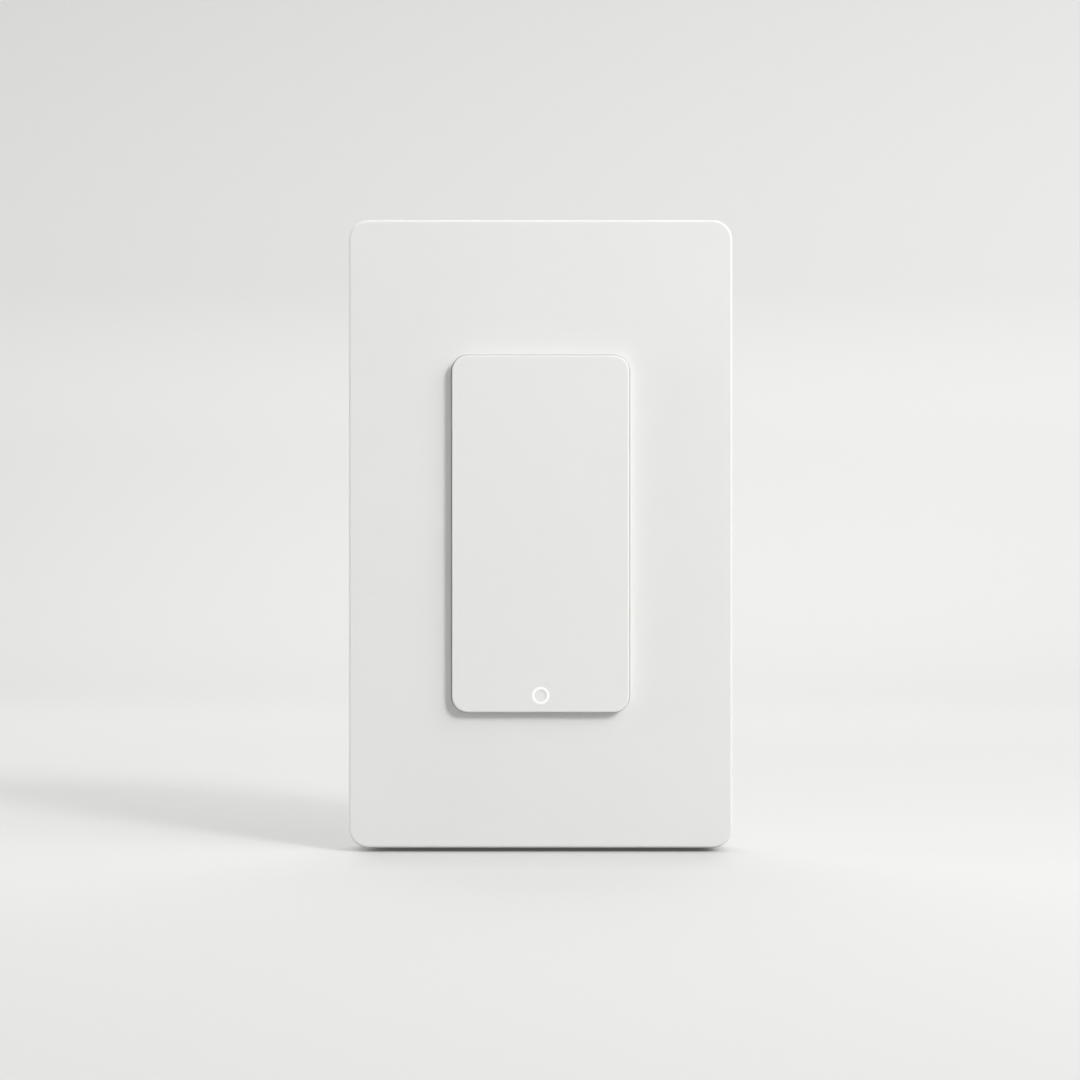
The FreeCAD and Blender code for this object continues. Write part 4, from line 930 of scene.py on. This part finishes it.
# %% Springs: two leaves
def add_leaf(mesh, across):
    """Give the line the sheet's thickness and the leaf's width; its points are (z, depth)."""
    points = round_bends(LEAF_LINE, BEND_REACH)
    rows = []
    for spot, point in enumerate(points):
        along = points[min(spot + 1, len(points) - 1)] - points[max(spot - 1, 0)]
        out = Vector((-along.y, along.x)).normalized() * 0.5 * SPRING_SHEET
        row = []
        for side, face in ((-1, -1), (1, -1), (1, 1), (-1, 1)):
            up, depth = point + face * out
            row.append(mesh.verts.new((across + side * 0.5 * SPRING_WIDTH, -depth, up)))
        rows.append(row)
    skin_rows(mesh, rows)


leaves = bmesh.new()
for side in (-1.0, 1.0):
    add_leaf(leaves, side * (spring_high.x - 0.5 * SPRING_WIDTH))
spring_leaves = finish_mesh("spring_leaves", leaves, FINISHES["spring_steel"], 40.0)
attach(spring_leaves, "switch_body")
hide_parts("return_springs")
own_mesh(spring_leaves)

# %% [markdown]
# ## Marks on the battery door
#
# A twist-lock door tells its state without words: a small pointer on the door, a dot on the cover where
# it is locked, and a ring where it comes free. Two bent arrows show the way round, and short ribs help a
# fingertip. These marks are raised by 0.15 mm, as they come out of an engraved mould. Bump alone would
# look flat from the side, so they are real plates. Angles are measured at the door's middle from the top,
# in the sense of the door's own turn.

# %% Marks in the mould
DOOR_BACK, COVER_FLOOR = 3.1 * MM, 3.0 * MM
MARK_HEIGHT, MARK_ROOT = 0.15 * MM, 0.05 * MM
DOOR_TURN, MARK_RADIUS = 30.0, 14.0 * MM
POINTER_BASE, POINTER_HALF = 10.6 * MM, 3.4
ARROW_RADIUS, SHAFT_HALF, HEAD_HALF = 8.7 * MM, 0.2 * MM, 0.7 * MM
SHAFT_START, SHAFT_END, HEAD_START, HEAD_TIP = 38.0, 74.0, 74.3, 83.0
RIB_INNER, RIB_OUTER, RIB_HALF, RIB_STEP = 10.4 * MM, 11.7 * MM, 0.9, 4.6


def round_the_door(radius, degrees):
    angle = math.radians(degrees)
    return radius * math.sin(angle), radius * math.cos(angle)


def arc_strip(mesh, inner, outer, start, end, foot, top, steps=14):
    """A curved bar between two radii and two angles."""
    rows = []
    for step in range(steps + 1):
        turn = start + (end - start) * step / steps
        corners = ((inner, foot), (outer, foot), (outer, top), (inner, top))
        row = []
        for radius, depth in corners:
            x, z = round_the_door(radius, turn)
            row.append(mesh.verts.new((x, -depth, z)))
        rows.append(row)
    skin_rows(mesh, rows)


def door_marks():
    """A pointer at the top, two arrows round the slot and seven ribs at each side."""
    mesh = bmesh.new()
    foot, top = DOOR_BACK + MARK_ROOT, DOOR_BACK - MARK_HEIGHT
    pointer = [round_the_door(RIB_OUTER, 0.0), round_the_door(POINTER_BASE, POINTER_HALF),
               round_the_door(POINTER_BASE, -POINTER_HALF)]
    raise_outline(mesh, pointer, foot, top)
    for side in (0.0, 180.0):
        arc_strip(mesh, ARROW_RADIUS - SHAFT_HALF, ARROW_RADIUS + SHAFT_HALF, side + SHAFT_START,
                  side + SHAFT_END, foot, top)
        head = [round_the_door(ARROW_RADIUS, side + HEAD_TIP),
                round_the_door(ARROW_RADIUS + HEAD_HALF, side + HEAD_START),
                round_the_door(ARROW_RADIUS - HEAD_HALF, side + HEAD_START)]
        raise_outline(mesh, head, foot, top)
    for side in (-90.0, 90.0):
        for step in range(-3, 4):
            middle = side + RIB_STEP * step
            arc_strip(mesh, RIB_INNER, RIB_OUTER, middle - RIB_HALF, middle + RIB_HALF, foot, top, 2)
    return mesh


def cover_marks():
    """A dot where the door is locked and a ring where it comes free."""
    mesh = bmesh.new()
    foot, top = COVER_FLOOR + MARK_ROOT, COVER_FLOOR - MARK_HEIGHT
    dot = [(0.0, top), (0.42 * MM, top), (0.5 * MM, top + 0.04 * MM), (0.5 * MM, foot), (0.0, foot)]
    lathe(mesh, dot, *round_the_door(MARK_RADIUS, 0.0), steps=24)
    ring = [(0.3 * MM, foot), (0.3 * MM, top), (0.55 * MM, top), (0.55 * MM, foot), (0.3 * MM, foot)]
    lathe(mesh, ring, *round_the_door(MARK_RADIUS, DOOR_TURN), steps=24)
    bmesh.ops.remove_doubles(mesh, verts=mesh.verts, dist=1e-7)
    return mesh


# %% Place the marks
for name, mesh, body in (("door_marks", door_marks(), "battery_door"),
                         ("cover_marks", cover_marks(), "switch_body")):
    piece = finish_mesh(name, mesh, FINISHES["cover_plastic"], 30.0)
    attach(piece, body)

# %% [markdown]
# ## Ejector marks
#
# A moulding is pushed out of its mould by round steel pins, and each pin leaves a faint ring on the hidden
# side. The bracket and the rear cover show them on their backs. Each is a low lathed rim, a twentieth of a
# millimetre high. It catches the light when the switch is turned, which a painted mask wouldn't do.

# %% Ejector marks
BRACKET_BACK, COVER_BACK = 0.4 * MM, 0.8 * MM
PIN_RIM, PIN_HEIGHT, PIN_ROOT = 0.18 * MM, 0.05 * MM, 0.05 * MM


def pin_rings(spots, face, radius):
    """Low rims round each spot, raised off a face towards the wall."""
    mesh = bmesh.new()
    foot, top, crown = face + PIN_ROOT, face - PIN_HEIGHT, 0.7 * PIN_RIM
    rim = [(radius - PIN_RIM, foot), (radius - crown, top), (radius + crown, top), (radius + PIN_RIM, foot),
           (radius - PIN_RIM, foot)]
    for x, z in spots:
        lathe(mesh, rim, x * MM, z * MM, 40)
    bmesh.ops.remove_doubles(mesh, verts=mesh.verts, dist=1e-7)
    return mesh


EJECTOR_MARKS = (
    ("bracket_pin_rings", [(side * 20.6, up) for side in (-1, 1) for up in (-42.0, -13.0, 13.0, 42.0)],
     BRACKET_BACK, 1.5 * MM, "wall_bracket", "bracket_plastic"),
    ("cover_pin_rings", [(side * 30.0, up) for side in (-1, 1) for up in (-24.0, 0.0, 24.0)],
     COVER_BACK, 1.2 * MM, "switch_body", "cover_plastic"),
)
for name, spots, face, radius, body, finish in EJECTOR_MARKS:
    piece = finish_mesh(name, pin_rings(spots, face, radius), FINISHES[finish], 30.0)
    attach(piece, body)

# %% [markdown]
# ## The adhesive pads
#
# Each pad is a strip of closed-cell foam with glue on both sides. A paper liner covers the glue that will
# meet the wall, and it runs past the foam at one end as a tab to pull. The foam's cut edges bulge a
# little between its two glued faces, so its outline is raised in layers with a larger middle. A cloth
# simulation could do it too, but so thin a pad hardly moves.

# %% Foam and liner
PAD_SIDE, PAD_LOW, PAD_HIGH, PAD_FRONT = 20.0 * MM, 22.5 * MM, 34.47 * MM, 1.0 * MM
LINER_THICK, LINER_TAB = 0.08 * MM, 3.0 * MM
FOAM_BULGE, FOAM_CORNER, FOAM_LAYERS, LINER_CORNER = 0.16 * MM, 0.6 * MM, 7, 1.2 * MM


def foam_mesh(low, high):
    mesh = bmesh.new()
    rows = []
    for layer in range(FOAM_LAYERS):
        share = layer / (FOAM_LAYERS - 1)
        depth = LINER_THICK + (PAD_FRONT - LINER_THICK) * share
        inset = FOAM_BULGE * (2.0 * share - 1.0) ** 2
        outline = rounded_outline(-PAD_SIDE + inset, PAD_SIDE - inset, low + inset, high - inset,
                                  FOAM_CORNER, 4)
        rows.append([mesh.verts.new((x, -depth, z)) for x, z in outline])
    skin_rows(mesh, rows)
    return mesh


def liner_mesh(low, high, tab_side):
    mesh = bmesh.new()
    left = -PAD_SIDE - (LINER_TAB if tab_side < 0 else 0.0)
    right = PAD_SIDE + (LINER_TAB if tab_side > 0 else 0.0)
    raise_outline(mesh, rounded_outline(left, right, low, high, LINER_CORNER), LINER_THICK, 0.0, 0.02 * MM)
    return mesh


# %% Place the pads
LINER_PAPER = moulded_plastic("liner_paper", (0.84, 0.83, 0.79), (0.80, 0.79, 0.745), roughness=0.35,
                              pitch=1.2, relief=0.02, patch=12.0)
for node, low, high, tab_side in (("adhesive_pad_upper", PAD_LOW, PAD_HIGH, 1.0),
                                  ("adhesive_pad_lower", -PAD_HIGH, -PAD_LOW, -1.0)):
    foam = finish_mesh(node + "_foam", foam_mesh(low, high), FINISHES["pad_foam"], 50.0)
    liner = finish_mesh(node + "_liner", liner_mesh(low, high, tab_side), LINER_PAPER, 50.0)
    for piece in (foam, liner):
        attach(piece, "wall_bracket")
    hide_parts(node)
